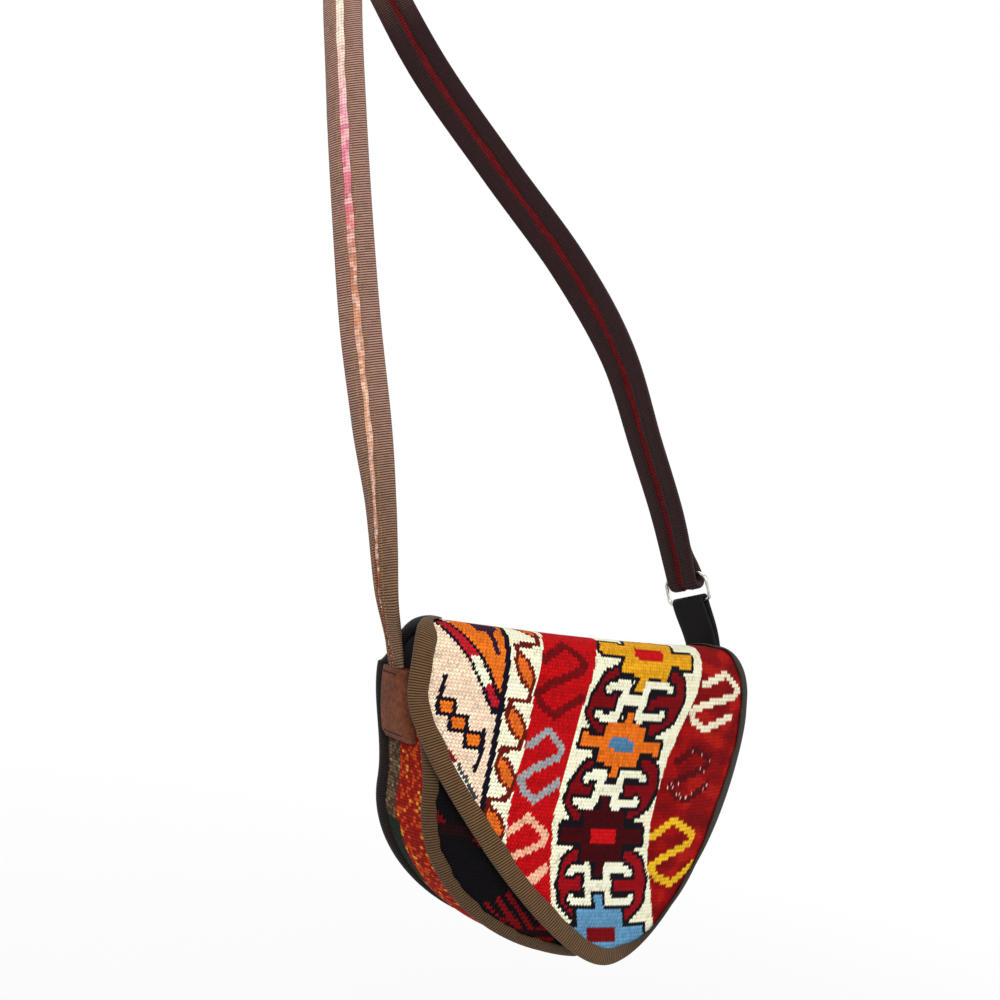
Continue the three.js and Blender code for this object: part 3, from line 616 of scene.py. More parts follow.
MEDALLION = [
    (-0.09, -0.95), (0.09, -0.95), (0.09, -0.62), (0.5, -0.6), (0.5, -0.2), (1, -0.2), (1, 0.2), (0.5, 0.2),
    (0.5, 0.6), (0.09, 0.62), (0.09, 0.95), (-0.09, 0.95), (-0.09, 0.62), (-0.5, 0.6), (-0.5, 0.2), (-1, 0.2),
    (-1, -0.2), (-0.5, -0.2), (-0.5, -0.6), (-0.09, -0.62),
]
HEART = [(-0.31, -0.17), (0.31, -0.17), (0.31, 0.17), (-0.31, 0.17)]
DRAGON = [
    (-0.84, -0.5), (-0.04, -1), (0.84, -0.5), (0.69, -0.26), (-0.43, 0.14), (-0.89, 0.45), (-0.62, 0.76),
    (-0.04, 1), (0.93, 0.45),
]
LEFT_HOOK = [(-0.52, -1.02), (-0.78, -0.74), (-0.88, -0.1), (-0.88, 0.5), (-0.64, 0.98)]
LEFT_PRONG = [(-0.88, 0.02), (-0.56, 0.02)]
RIGHT_HOOK = [(0.58, -0.96), (0.84, -0.72), (0.95, -0.1), (0.86, 0.55), (0.5, 1.02)]
RIGHT_PRONG = [(0.92, 0.05), (0.22, 0.08)]
H_LEFT = [(-0.74, -0.38), (-0.64, -0.52), (-0.36, -0.58), (-0.37, 0.6), (-0.64, 0.62), (-0.76, 0.5)]
H_RIGHT = [(0.65, -0.4), (0.48, -0.57), (0.08, -0.6), (0.1, 0.62), (0.52, 0.6), (0.65, 0.5)]
H_BAR = [(-0.36, 0.0), (0.1, 0.0)]


HOOKS = [(7.2, LEFT_HOOK), (9.0, LEFT_PRONG), (7.2, RIGHT_HOOK), (6.5, RIGHT_PRONG)]
LETTER = [(5.0, H_LEFT), (5.0, H_RIGHT), (6.6, H_BAR)]
LETTER_YARN, HOOK_RED = (254, 250, 218), (122, 4, 12)
MEDALLION_INK, HOOK_INK, LETTER_INK = 2.5, 2.6, 2.4


def strokes(parts, ends):
    return [line(width, *placed(corners, *ends)) for width, corners in parts]


def medallion(canvas, middle, across, along, yarn, heart):
    draw(canvas, [patch(*placed(MEDALLION, middle, across, along))], yarn, MEDALLION_INK)
    draw(canvas, [patch(*placed(HEART, middle, across, along))], heart)


def letter(canvas, ends, outline=0.0):
    draw(canvas, strokes(LETTER, ends), LETTER_YARN, outline)


def hooks(canvas, ends, red=HOOK_RED):
    draw(canvas, strokes(HOOKS, ends), red, HOOK_INK)
    letter(canvas, ends, LETTER_INK)


def dragon(canvas, middle, across, along, yarn, width=4.4):
    draw(canvas, strokes([(width, DRAGON)], (middle, across, along)), yarn)


# %% [markdown]
# ## The stripes of the flap and back
# The cloth was cut a little askew, so its stripes run down the flap on a slant: a peach field, a narrow
# ivory stripe with a running vine, a bright red stripe, the broad ivory band with the medallions, and a
# deep red stripe. Each border is a short list of places that is read between by interpolation, and the
# stripes go on over the fold and down the back.

# %% stripes and field motifs
PATTERN_ZERO, LEFT_SHIFT = np.array([-2.0, -1.0]), 4.5
NAVY, IVORY, ORANGE = (16, 11, 26), (255, 249, 214), (234, 116, 30)
PEACH, RED, DEEP_RED = (250, 218, 188), (190, 8, 16), (138, 5, 7)
VINE, LEAF, MAROON, CRIMSON = (104, 22, 16), (226, 106, 34), (112, 8, 14), (186, 26, 40)
GREY, PINK, YELLOW = (158, 158, 160), (248, 180, 148), (240, 186, 34)
NAVY_HALF, VINE_WIDE = 1.7, 2.9
BORDER_RUNS = [-230, 0, 20, 40, 60, 80, 100, 120, 140, 160, 180, 200]
BORDERS = {
    "field_edge": [-78, -126, -132, -140, -150, -160, -170, -180, -190, -200, -210, -220],
    "navy_line": [-32, -80, -83.5, -86.5, -89, -91.5, -94, -95.5, -96, -96, -96, -96],
    "red_edge": [-4, -52, -60, -66.4, -69.8, -73, -77.6, -80, -79, -78, -77, -76],
    "band_edge": [42, -8, -19.7, -28.2, -35.5, -42, -47.2, -51.5, -49.6, -46.2, -41.5, -36],
    "deep_edge": [136, 89, 80, 69.3, 54, 40, 31.4, 25.9, 25.9, 34.2, 40.3, 45],
    "far_edge": [200, 160, 155, 150, 150, 150, 150, 150, 150, 150, 150, 150],
}
VINE_STEPS = [
    ((-60, 9), (-62.5, 16.5), (-78, 18), (-77, 24), (-71, 43)),
    ((-71, 44), (-70.5, 50.5), (-83.5, 51.5), (-82.5, 56.5), (-75, 74)),
    ((-75, 75), (-76.5, 80), (-87.5, 81.5), (-87, 86), (-80.5, 103)),
    ((-80.5, 104), (-82, 109.5), (-92, 111.5), (-91.5, 116.5), (-83.5, 133)),
]
BAND_HOOKS = [
    ((13.5, 45), (39, -1), (-8.5, 17.4)),
    ((-6.5, 99), (33.5, -0.5), (-7, 15.4)),
    ((-7.5, 156.5), (33.5, 0), (4.5, 18)),
]
BAND_MEDALLIONS = [
    ((28.5, 15), (40, 4), (-16, 25), (232, 164, 26), (200, 12, 20)),
    ((-0.5, 72.3), (32.5, 1.6), (-8, 20.6), (232, 112, 24), (76, 126, 164)),
    ((-13, 127), (31.5, 0), (0.6, 25.5), (62, 2, 8), (198, 12, 20)),
    ((-4, 187), (36, 0), (7, 26.5), (96, 150, 186), (118, 6, 14)),
]
DARK_DRAGON = ((66, 90), (24, 0), (-5, 16))
STRIPE_DRAGONS = [
    ((-47.5, 36), (18.1, 0), (-5.5, 22), MAROON, 5),
    ((-60.5, 88), (13.7, 0), (-4, 21), GREY),
    ((-66, 139), (14.3, 0), (1, 20), PINK),
    ((95, 44), (28.2, 2.1), (-14, 17.6), (252, 236, 204), 5),
    (*DARK_DRAGON, (84, 4, 10), 4.6),
    ((52.5, 138), (26.8, 0.7), (3, 20), YELLOW, 5),
]


def border(name, run):
    return np.interp(run, BORDER_RUNS, BORDERS[name])


def leaf(top, bottom, half):
    top, bottom = np.array(top, float), np.array(bottom, float)
    side = half * unit(np.array([bottom[1] - top[1], top[0] - bottom[0]]))
    rim = ((0, 0), (0.3, 1), (0.8, 1), (1, 0), (0.7, -1), (0.2, -1))
    return patch(*[top + share * (bottom - top) + way * side for share, way in rim])


def field_motifs(canvas):
    corner = patch(
        (-113, -40), (-60, -40), (-79, 0), (-83, 20), (-85.5, 40), (-88.5, 53), (-96, 42), (-100, 33),
        (-104, 24), (-113, 8),
    )
    tooth = patch((-101, 0), (-84, 0), (-85, 9), (-90, 10), (-89, 27), (-92, 27), (-93.5, 11), (-99, 11))
    draw(canvas, [corner], ORANGE)
    draw(canvas, [tooth], (44, 20, 46))
    draw(canvas, [patch((-130, 2), (-116, 0), (-113, 9), (-119, 15), (-123, 9))], IVORY)
    draw(canvas, [line(9.6, (-119.5, 6), (-104.5, 29), (-90.5, 57))], NAVY)
    draw(canvas, [line(5.4, (-118.5, 8), (-105, 28.5))], CRIMSON)
    draw(canvas, [line(5.2, (-104.2, 30), (-97, 44.5))], IVORY)
    draw(canvas, [line(4.6, (-96, 46.5), (-91.5, 55.5))], CRIMSON)
    for x, run in ((-119.7, 59.6), (-112.4, 68.6), (-103.4, 77.4)):
        around = patch((x - 6, run - 5.8), (x + 5.8, run - 6), (x + 6, run + 5.6), (x - 5.8, run + 5.8))
        inside = patch((x - 3.6, run - 2.8), (x + 3.2, run - 3), (x + 3.6, run + 2.8), (x - 3.2, run + 3))
        draw(canvas, [around], NAVY)
        draw(canvas, [inside], ORANGE)
    tails = [line(2.7, (-121.6, 42), (-123.6, 56)), line(2.7, (-97.4, 72), (-98.6, 86), (-101.5, 95))]
    draw(canvas, tails, NAVY)
    draw(canvas, [line(5, (-121, 83), (-112.5, 94))], (140, 16, 20))
    draw(canvas, [line(4.6, (-113, 94), (-101, 112))], IVORY)
    for k in range(7):
        dot = np.array([-110.2, 94]) + np.array([10.4, 17]) * k / 6
        draw(canvas, [line(2.4, dot, dot + 0.6)], (60, 60, 68))


def stripe_motifs(canvas):
    vine = [line(VINE_WIDE, *step[:4]) for step in VINE_STEPS]
    vine += [line(VINE_WIDE, step[4], later[1]) for step, later in zip(VINE_STEPS, VINE_STEPS[1:])]
    draw(canvas, vine, VINE)
    for top, bottom in [((-69, -10), (-60.5, 10))] + [step[3:] for step in VINE_STEPS]:
        draw(canvas, [leaf(top, bottom, 3.1)], LEAF, 2.4, VINE)
    for ends in STRIPE_DRAGONS:
        dragon(canvas, *ends)
    draw(canvas, [line(4.4, (-60, 158), (-52, 150))], PINK)


def band_motifs(canvas):
    for ends, red in zip(BAND_HOOKS, (HOOK_RED, HOOK_RED, (150, 8, 18))):
        hooks(canvas, ends, red)
    for ends in BAND_MEDALLIONS:
        medallion(canvas, *ends)
    for ends in BAND_HOOKS:
        letter(canvas, ends)


def back_motifs(canvas):
    fills = [(84, 132, 166), (236, 122, 30), (66, 4, 10), (238, 172, 34)]
    for k, run in enumerate((-62, -114, -166, -218)):
        red, band = border("red_edge", run), border("band_edge", run)
        deep, side = border("deep_edge", run), border("navy_line", run)
        middle = (band + deep) / 2
        hooks(canvas, ((middle - 7, run + 27), (42, 0), (-6, 16)))
        medallion(canvas, (middle, run), (40, 0), (-6, 22), fills[k], (206, 18, 26))
        dragon(canvas, ((red + band) / 2, run), (16, 0), (-5, 20), (GREY, MAROON)[k % 2])
        dragon(canvas, (deep + 26, run), (20, 0), (-5, 20), YELLOW)
        vine = line(2.3, (side + 22, run - 24), (side + 8, run - 18), (side + 20, run), (side + 8, run + 8))
        draw(canvas, [vine], VINE)
        draw(canvas, [leaf((side + 9, run - 16), (side + 17, run + 2), 2.6)], ORANGE, 2.0, VINE)
        for inset, yarn in ((0, NAVY), (3, ORANGE)):
            a, b, c, d = side - 30 + inset, side - 16 - inset, run - 8 + inset, run + 6 - inset
            draw(canvas, [patch((a, c), (b, c), (b, d), (a, d))], yarn)


yarn_chance = np.random.default_rng(11)


def uneven(colours, amount, cloth=None):
    """Hand-spun yarn: each stitch a little lighter or darker than the next, and each dye lot too"""
    light = 1 + amount * yarn_chance.standard_normal(len(colours))
    if cloth is not None:
        x, run = cloth[:, 0], cloth[:, 1]
        light += 0.06 * np.sin(run * 0.31 + 2 * np.sin(x * 0.04)) + 0.05 * np.sin(run * 0.83 + x * 0.11)
    return np.clip(colours * light[:, None], 0, 1)


def paint_flap(cloth):
    points = cloth - PATTERN_ZERO
    points[:, 0] -= LEFT_SHIFT * smooth(-points[:, 0], -10, 80)
    x, run = points[:, 0], points[:, 1]
    colours = np.tile(dye(*DEEP_RED), (len(points), 1))
    streak = np.sin(run * 0.16 + x * 0.05 + 1.5 * np.sin(x * 0.11)) + 0.6 * np.sin(run * 0.41 - x * 0.09)
    colours[(streak > 0.3) & (x > 0)] = dye(160, 10, 9)
    colours[(streak < -0.8) & (x > 0)] = dye(122, 3, 7)
    colours[(streak > 0.7) & (x > 85 - 0.25 * run)] = dye(176, 22, 12)
    for name, yarn in (("deep_edge", IVORY), ("band_edge", RED), ("red_edge", IVORY)):
        colours[x < border(name, run)] = dye(*yarn)
    from_navy = x - border("navy_line", run)
    colours[from_navy < NAVY_HALF] = dye(*PEACH)
    colours[(x < border("field_edge", run)) & (run < 0)] = dye(*DEEP_RED)
    canvas = (points, colours)
    field_motifs(canvas)
    colours[np.abs(from_navy) < NAVY_HALF] = dye(*NAVY)
    for motifs in (stripe_motifs, back_motifs, band_motifs):
        motifs(canvas)
    specks = (yarn_chance.random(len(points)) < 0.05) & (np.hypot(x - 66, run - 90) < 30)
    on_dragon = reach_to(points, placed(DRAGON, *DARK_DRAGON), False) < 2.3
    colours[specks & on_dragon] = dye(236, 170, 160)
    return uneven(colours, 0.11, cloth)


print("border lines:", len(BORDERS), "medallions on the flap:", len(BAND_MEDALLIONS))

# %% [markdown]
# ## The back and flap panel
# One length of cloth is back, fold and flap. A grid is laid in the direction of the weave, one face for
# each stitch, and the faces outside the cut are deleted. Then every vertex goes to its place on the
# fold, so stitches stay square to each other round the bend. A live Solidify modifier gives the wool
# its thickness, inwards from the face. No simulation is used: the fold's curve already is the way that
# stiff, heavy cloth hangs.

# %% back and flap panel
STITCH = (2.1, 2.2)
WEAVE_LEAN = 0.28


def back_run(z):
    return -CREST_AT + (z + PANEL_BOTTOM + SPARE)


def on_back(points):
    return np.stack([points[:, 0], back_run(points[:, 1])], 1)


flap_side = bezier((FOLD_HALF, 0), (FOLD_HALF + 6, 1), (FLAP_HALF, 7), (FLAP_HALF, FLAP_WIDEST))
flap_bottom = bezier(
    (FLAP_HALF, FLAP_WIDEST),
    (FLAP_HALF, FLAP_WIDEST + FLAP_ROUND),
    (FLAP_BLUNT, FLAP_LENGTH),
    (0, FLAP_LENGTH),
)
seam_top = np.array([MOUTH_HALF + BACK_FLANGE, back_run(-GUSSET_DROP)])
neck = bezier((FOLD_HALF, 0), (FOLD_HALF, seam_top[1]), seam_top, seam_top)
back_edge = joined(neck, on_back(body_side(GUSSET_DROP, BACK_FLANGE)), on_back(body_bottom(BACK_FLANGE)))
half_rim = joined(back_edge[::-1], flap_side, flap_bottom)


def panel_half(run):
    order = np.argsort(half_rim[:, 1])
    return np.interp(run, half_rim[order, 1], half_rim[order, 0], left=0, right=0)


def woven_panel(place, half_at, low, high, reach, lean, paint, outward, turn_over=False, trim=2.0):
    """A panel with two slanted faces for each stitch, cut to a half width that changes along it"""
    columns = 2 * int((2 * reach + abs(lean) * (high - low)) / STITCH[0]) + 4
    rows = int((high - low) / STITCH[1]) + 3
    bm = bmesh.new()
    bmesh.ops.create_grid(bm, x_segments=columns, y_segments=rows, size=1)
    bm.verts.index_update()
    flat = np.array([vert.co[:2] for vert in bm.verts])
    counts = np.rint((flat + 1) / 2 * np.array([columns, rows]))
    weave = (counts - np.array([columns, rows]) / 2) * np.array([STITCH[0] / 2, STITCH[1]])
    weave[:, 1] += STITCH[1] * (0.5 * (counts[:, 0] % 2) - 0.25)
    cloth = np.stack([weave[:, 0] - lean * weave[:, 1], weave[:, 1] + (low + high) / 2], 1)
    middles = cloth[corners_of(bm)].mean(axis=1)
    keep = np.abs(middles[:, 0]) < half_at(middles[:, 1]) - trim
    keep &= (middles[:, 1] > low + trim) & (middles[:, 1] < high - trim)
    outside = [face for face, kept in zip(bm.faces, keep) if not kept]
    places = to_frame(off_cloth(place, cloth[:, 0], cloth[:, 1], np.full(len(cloth), KILIM / 2), outward))
    lay_map(bm, counts, paint(middles))
    for vert, spot in zip(bm.verts, places):
        vert.co = spot
    bmesh.ops.delete(bm, geom=outside, context="FACES")
    if turn_over:
        bmesh.ops.reverse_faces(bm, faces=bm.faces)
    return bm


BACK_END = half_rim[:, 1].min()
flap_bm = woven_panel(folded, panel_half, BACK_END, FLAP_LENGTH, FLAP_HALF, WEAVE_LEAN, paint_flap, 1, True)
flap_panel = piece(
    "flap_and_back", flap_bm, wool, nodes=["back_and_flap_panel"], slot="patterned_wool", thickness=KILIM
)

# %% [markdown]
# ## The front panel
# Under the flap the front is a plainer, nearly black piece of the same wool. Only its lowest edge shows
# below the flap, where a few red and maroon motifs come through. It bellies out, fullest a little below
# half way, as a bag does that has something in it.

# %% front panel
def paint_front(cloth):
    x, z = cloth[:, 0], cloth[:, 1]
    colours = np.tile(dye(12, 9, 12), (len(cloth), 1))
    for column in range(-112, 113, 28):
        for row in (-176, -118, -60):
            for half, rise, yarn in ((11, 10, (112, 8, 16)), (5, 5, (30, 12, 16))):
                left, far = (column - half, row + 2), (column + half, row + 2)
                diamond = patch(left, (column, row + 2 + rise), far, (column, row + 2 - rise))
                draw((cloth, colours), [diamond], yarn)
    colours[((x + z) % 9 < 4) & (np.abs(x + 34) + 1.4 * np.abs(z + 160) < 40)] = dye(122, 8, 16)
    colours[np.abs((z + 147) % 58 - 29) < 2.4] = dye(32, 8, 12)
    return uneven(colours, 0.1)


def front_half_at(z):
    return np.interp(-z, -front_half[:, 1], front_half[:, 0], left=MOUTH_HALF + FRONT_FLANGE, right=0)


FRONT_HALF, FRONT_TRIM = MOUTH_HALF + FRONT_FLANGE, 1.2
front_bm = woven_panel(
    front_face, front_half_at, -PANEL_BOTTOM, -MOUTH_DROP, FRONT_HALF, 0.0, paint_front, -1, trim=FRONT_TRIM
)
front_panel = piece("front", front_bm, wool, nodes=["front_panel"], slot="dark_wool", thickness=KILIM)

# %% [markdown]
# ## The gusset
# One long strip runs down the left side, round the bottom and up the right side. It is cut from another
# part of the rug: grey tweed along the back edge, then red wool with orange and yellow flecks. Along the
# front edge a dark strip is painted shade. It swells a little outwards below the tabs.

# %% gusset
gusset_half = joined(body_side(GUSSET_DROP, 0), body_bottom(0))
gusset_line = Line(both_sides(gusset_half, -1))
SEAM_INSET, GUSSET_SWELL, SWELL_FROM, SWELL_TO = 4.4, 4.0, 78, 144


def seam_lines(x, z):
    return hollow(x) - SEAM_INSET, hollow(x) - depth_at(z) + SEAM_INSET


def gusset_rows(along_steps, across_steps, lift):
    share = np.linspace(0, 1, along_steps)
    spot = gusset_line.at(share)
    way = gusset_line.way(share)
    outward = np.stack([way[:, 1], -way[:, 0]], 1)
    across = np.linspace(0, 1, across_steps)[None, :]
    back_y, front_y = seam_lines(spot[:, 0], spot[:, 1])
    below = smooth(-spot[:, 1], SWELL_FROM, SWELL_TO)
    swell = GUSSET_SWELL * below[:, None] * 4 * across * (1 - across) + lift
    x = spot[:, :1] + outward[:, :1] * swell
    z = spot[:, 1:] + outward[:, 1:] * swell
    y = back_y[:, None] + (front_y - back_y)[:, None] * across
    return np.stack([x, y, z], -1), share * gusset_line.length


GUSSET_STEPS, GUSSET_ACROSS = 214, 20


def paint_gusset(counts):
    across, along = counts[:, 0] / (GUSSET_ACROSS - 1), counts[:, 1] / GUSSET_STEPS
    chance = yarn_chance.random(len(counts))
    tweed = across < 0.3
    colours = np.tile(dye(140, 24, 16), (len(counts), 1))
    colours[chance < 0.3] = dye(190, 66, 24)
    colours[chance > 0.94] = dye(206, 140, 44)
    colours[tweed] = dye(104, 84, 64)
    colours[tweed & (chance < 0.45)] = dye(70, 52, 40)
    colours[tweed & (chance > 0.92)] = dye(140, 116, 92)
    colours[(across < 0.42) & (along > 0.2) & (along < 0.29)] = dye(30, 38, 26)
    # painted shade: a dark strip along the front edge, next to the seam
    colours[across > 0.92] = dye(34, 20, 20)
    return uneven(colours, 0.08)


gusset_points, _ = gusset_rows(GUSSET_STEPS, GUSSET_ACROSS, KILIM / 2)
gusset_map = np.stack(np.meshgrid(np.arange(GUSSET_ACROSS), np.arange(GUSSET_STEPS)), -1).astype(float)
gusset_bm = strip(gusset_points, gusset_map, turn_over=True, paint=paint_gusset)
gusset = piece("gusset_strip", gusset_bm, wool, nodes=["gusset"], slot="red_wool", thickness=KILIM)

# %% [markdown]
# ## Linings
# Behind the wool lies thin black cotton, seen only under the flap and inside the mouth. Each lining is a
# plain strip with straight rows, because nothing on it has to follow the weave, and its edge stays under
# the binding.

# %% linings
def lining_rows(place, half_at, low, high, rows, columns, outward, inset=2.0):
    run = low + (high - low) * (1 - np.cos(np.linspace(0, math.pi, rows))) / 2
    half = np.maximum(half_at(run) - inset, 0.6)
    across = np.linspace(-1, 1, columns)
    x = half[:, None] * across[None, :]
    runs = np.repeat(run[:, None], columns, axis=1)
    spots = off_cloth(place, x.ravel(), runs.ravel(), np.full(x.size, LINING_FACE), outward)
    return spots.reshape(rows, columns, 3), np.stack([runs, x], -1)


def lining(name, rows, node_name, turn_over=True):
    bm = strip(*rows, turn_over=turn_over)
    return piece(name, bm, cotton, nodes=[node_name], slot="lining_cotton", thickness=COTTON)


COTTON, LINING_EDGE, LINING_ROWS, LINING_COLUMNS = 1.0, 2, 110, 7
flap_rows = lining_rows(folded, panel_half, BACK_END + LINING_EDGE, FLAP_LENGTH - LINING_EDGE, 90, 41, 1)
flap_lining = lining("flap_and_back_lining", flap_rows, "back_and_flap_lining")
front_rows = lining_rows(
    front_face, front_half_at, -PANEL_BOTTOM + LINING_EDGE, -MOUTH_DROP - LINING_EDGE, 50, 41, -1
)
front_lining = lining("front_lining_sheet", front_rows, "front_lining", False)
gusset_inside, inside_run = gusset_rows(LINING_ROWS, LINING_COLUMNS, LINING_FACE)
inside_map = cloth_map(inside_run, np.arange(LINING_COLUMNS) * 6.0)
gusset_lining = lining("gusset_lining_strip", (gusset_inside, inside_map), "gusset_lining")

# %% [markdown]
# ## Ribbed tape over the edges
# A binding is one long tape folded over the raw edge and sewn through. Its section is a short list of
# places: how far in from the edge, and how high over the cloth. That section is carried along the rim in
# flat cloth coordinates and then bent with the cloth. A tape sewn round a curve is never quite even, so
# its inner edge wanders and lifts by fractions of a millimetre.

# %% binding helper
TAPE_SECTION = [
    (1.0, 2.3), (0.97, 2.75), (0.8, 2.95), (0.5, 3.05), (0.22, 3.0), (0.06, 2.75), (-0.6, 2.2), (-1.2, 1.2),
    (-1.45, -0.4), (-1.25, -2.4), (-0.7, -3.5), (0.06, -4.1), (0.4, -4.35), (0.8, -4.3), (1.0, -4.0),
]


WALK_STEP, WALK_REACH = 2.2, 7.0


def rim_walk(rim, closed):
    line_of_rim = Line(rim)
    share = np.linspace(0, 1, int(line_of_rim.length / WALK_STEP) + 1)
    spots = line_of_rim.at(share)
    way = line_of_rim.way(share, WALK_REACH / line_of_rim.length, closed)
    return spots, np.stack([-way[:, 1], way[:, 0]], 1), share * line_of_rim.length


def binding(place, rim, top_reach, under_reach, outward, closed=False, wander=0.35):
    """Tape round a rim that runs with the cloth on its left: rows along the rim, columns over the edge"""
    spots, inward, run = rim_walk(rim, closed)
    turns = 2 * math.pi * run / run[-1]
    uneven_edge = wander * (np.sin(17 * turns) + 0.7 * np.sin(29 * turns + 1) + 0.6 * np.sin(47 * turns + 2))
    lift = 0.16 * np.sin(61 * turns) + 0.12 * np.sin(37 * turns + 1)
    columns, heights = [], []
    for k, (share, height) in enumerate(TAPE_SECTION):
        on_top = k < len(TAPE_SECTION) // 2
        full = top_reach if on_top else under_reach
        inside = share > 0
        reach = share * (full + uneven_edge * (share > 0.4)) if inside else np.full(len(run), share)
        columns.append(spots + inward * np.asarray(reach)[:, None])
        heights.append(height + (lift * share if inside and on_top else 0 * lift))
    flat, high = np.stack(columns, 1), np.stack(heights, 1)
    a, b = flat[..., 0].ravel(), flat[..., 1].ravel()
    points = off_cloth(place, a, b, high.ravel(), outward).reshape(*flat.shape[:2], 3)
    across = np.cumsum(np.linalg.norm(np.diff(points, axis=1, prepend=points[:, :1]), axis=2), axis=1)
    return points, cloth_map(run, across)


# %% [markdown]
# The long rim starts at the bottom of the back, goes up the right side, over the flap's right edge to its
# tip and back down the left. On the flap the tape is wide on both faces. On the back it is narrower, and
# inside the seam only a little of it turns under.

# %% bindings
def paint_binding(light, dark, dark_stretch):
    def paint(cloth):
        share = dark_stretch(cloth[:, 0])[:, None]
        return uneven(dye(*light) * (1 - share) + dye(*dark) * share, 0.05)
    return paint


def bound(name, made, node_name, paint, **sides):
    bm = strip(*made, paint=paint, **sides)
    return piece(name, bm, tape_look, nodes=[node_name], slot="brown_tape", thickness=TAPE_THICK)


BROWN, SHADED_BROWN, TAPE_THICK = (86, 62, 37), (22, 13, 9), 0.7
FLAP_TAPE, SEAM_TAPE, SEAM_UNDER, MOUTH_TAPE, MOUTH_REACH = 9.6, 6.4, 5.8, 10.0, 104.0
CREST_LESS, TUCKED_LESS, BACK_UNDER, FLAP_MORE, CREST_UNDER_LESS = 6.2, 6.6, 4.0, 5.6, 2.4
full_rim = both_sides(half_rim, 1)
rim_x, rim_run = rim_walk(full_rim, True)[0].T
on_flap = smooth(rim_run, -16, 2)
at_crest = np.exp(-(rim_run / 11) ** 2)
turned_away = smooth(rim_x, -5, 45) * on_flap
tucked = turned_away * smooth(rim_run, 112, 158)
edge_reach = FLAP_TAPE - np.maximum(CREST_LESS * at_crest, TUCKED_LESS * tucked)
under_reach = BACK_UNDER + FLAP_MORE * on_flap - CREST_UNDER_LESS * at_crest
edge_made = binding(folded, full_rim, edge_reach, under_reach, 1, closed=True)
# painted shade: the tape on the back and along the flap's right edge is painted dark
shaded = np.maximum(1 - smooth(rim_run, -12, 6), 0.9 * turned_away)
edge_paint = paint_binding(BROWN, SHADED_BROWN, lambda run: np.interp(run, edge_made[1][:, 0, 0], shaded))
# painted shade: the front seam and mouth tapes take a quarter of the shaded brown
plain_paint = paint_binding(BROWN, SHADED_BROWN, lambda run: 0.25 + 0 * run)
edge_binding = bound("edge_binding", edge_made, "edge_tape", edge_paint, turn_over=True, weld=True)
seam_made = binding(front_face, both_sides(front_half, -1), SEAM_TAPE, SEAM_UNDER, -1)
seam_binding = bound("front_seam_binding", seam_made, "front_seam_tape", plain_paint)
mouth_rim = np.array([[side * MOUTH_REACH, -MOUTH_DROP] for side in (1, 0, -1)])
mouth_made = binding(front_face, mouth_rim, MOUTH_TAPE, MOUTH_TAPE, -1, wander=0.2)
mouth_binding = bound("mouth_binding", mouth_made, "mouth_tape", plain_paint)

# %% [markdown]
# ## The strap
# The strap is a strip of wool between two folded tapes: they meet nearly in the middle and leave a line
# of wool about 5 mm wide. It leaves the left tab, goes up and over whatever it hangs from and comes back
# to the ring on the right, turning on its way. Its middle line is a spline through a few knots, those of
# the solid apart from the first ones near the tab. The direction across it is a spline too, so no frame
# has to be passed along from one step to the next.

# %% the strap's route
STRAP_KNOTS = [
    ((-137.5, 19, 9), (0.28, -0.96, 0.06)), ((-142, 35.5, 65), (0.44, -0.9, 0.12)),
    ((-148, 48.5, 112), (0.69, -0.7, 0.16)), ((-158, 62, 168), (0.78, -0.6, 0.17)),
    ((-168, 74, 228), (0.74, -0.66, 0.17)), ((-175, 93, 299), (0.71, -0.69, 0.17)),
    ((-175, 120, 370), (0.71, -0.69, 0.17)), ((-161, 154, 419), (0.76, -0.62, 0.17)),
    ((-139, 182, 437), (0.77, -0.58, 0.26)), ((-103, 200, 416), (0.67, -0.5, 0.55)),
    ((-52, 195, 365), (0.6, -0.44, 0.67)), ((6, 173, 307), (0.6, -0.44, 0.67)),
    ((52, 132, 246), (0.48, -0.6, 0.64)), ((73, 89, 189), (0.23, -0.86, 0.46)),
    ((86, 58, 129), (0.09, -0.94, 0.32)),
]
TAB_LENGTH, STRAP_LIFT, STRAP_LEAD = 46.0, 3.2, 46.0
LEAVE_TAB = np.array([-4.0, 5.5, 18.0])
STRAP_HALF, STRAP_THICK_HALF, STRAP_FOLD = 14.0, 2.35, math.radians(33)
RING_NARROWS, END_NARROWS, TAB_NARROWS, FAR_NARROWS = 0.13, 0.22, 0.28, 0.7
RING_WIRE, RING_HEIGHT, RING_CORNER, RING_LOW, SLACK = 2.8, 17.0, 4.0, 14.1, 0.3
RING_BAR = np.array([115.95, 19.53, 28.0])
RING_ALONG = np.array([-0.056715, 0.954622, -0.292372])
CORE_ASIDE = 2.9
backwards = np.array([0.0, 1.0, 0.0])
side_line = Line(body_side(GUSSET_DROP, 0))


def without(vector, direction):
    """The part of a vector that is square to a direction, as a unit vector"""
    return unit(vector - (vector * direction).sum(-1, keepdims=True) * direction)


def gusset_end(turn, drop, lift):
    """Place at the top of a gusset side, a drop below its end, with its outward and upward directions"""
    share = np.clip(drop / side_line.length, 0, 1)
    x, z = side_line.at(share)
    way = side_line.way(share, 0.01)
    outward = np.array([-way[1] * turn, 0, way[0]])
    upward = np.array([-way[0] * turn, 0, -way[1]])
    spot = np.array([turn * x, 0, z]) + outward * lift
    back_y, front_y = seam_lines(spot[0], z)
    spot[1] = (back_y + front_y) / 2
    return spot, outward, upward


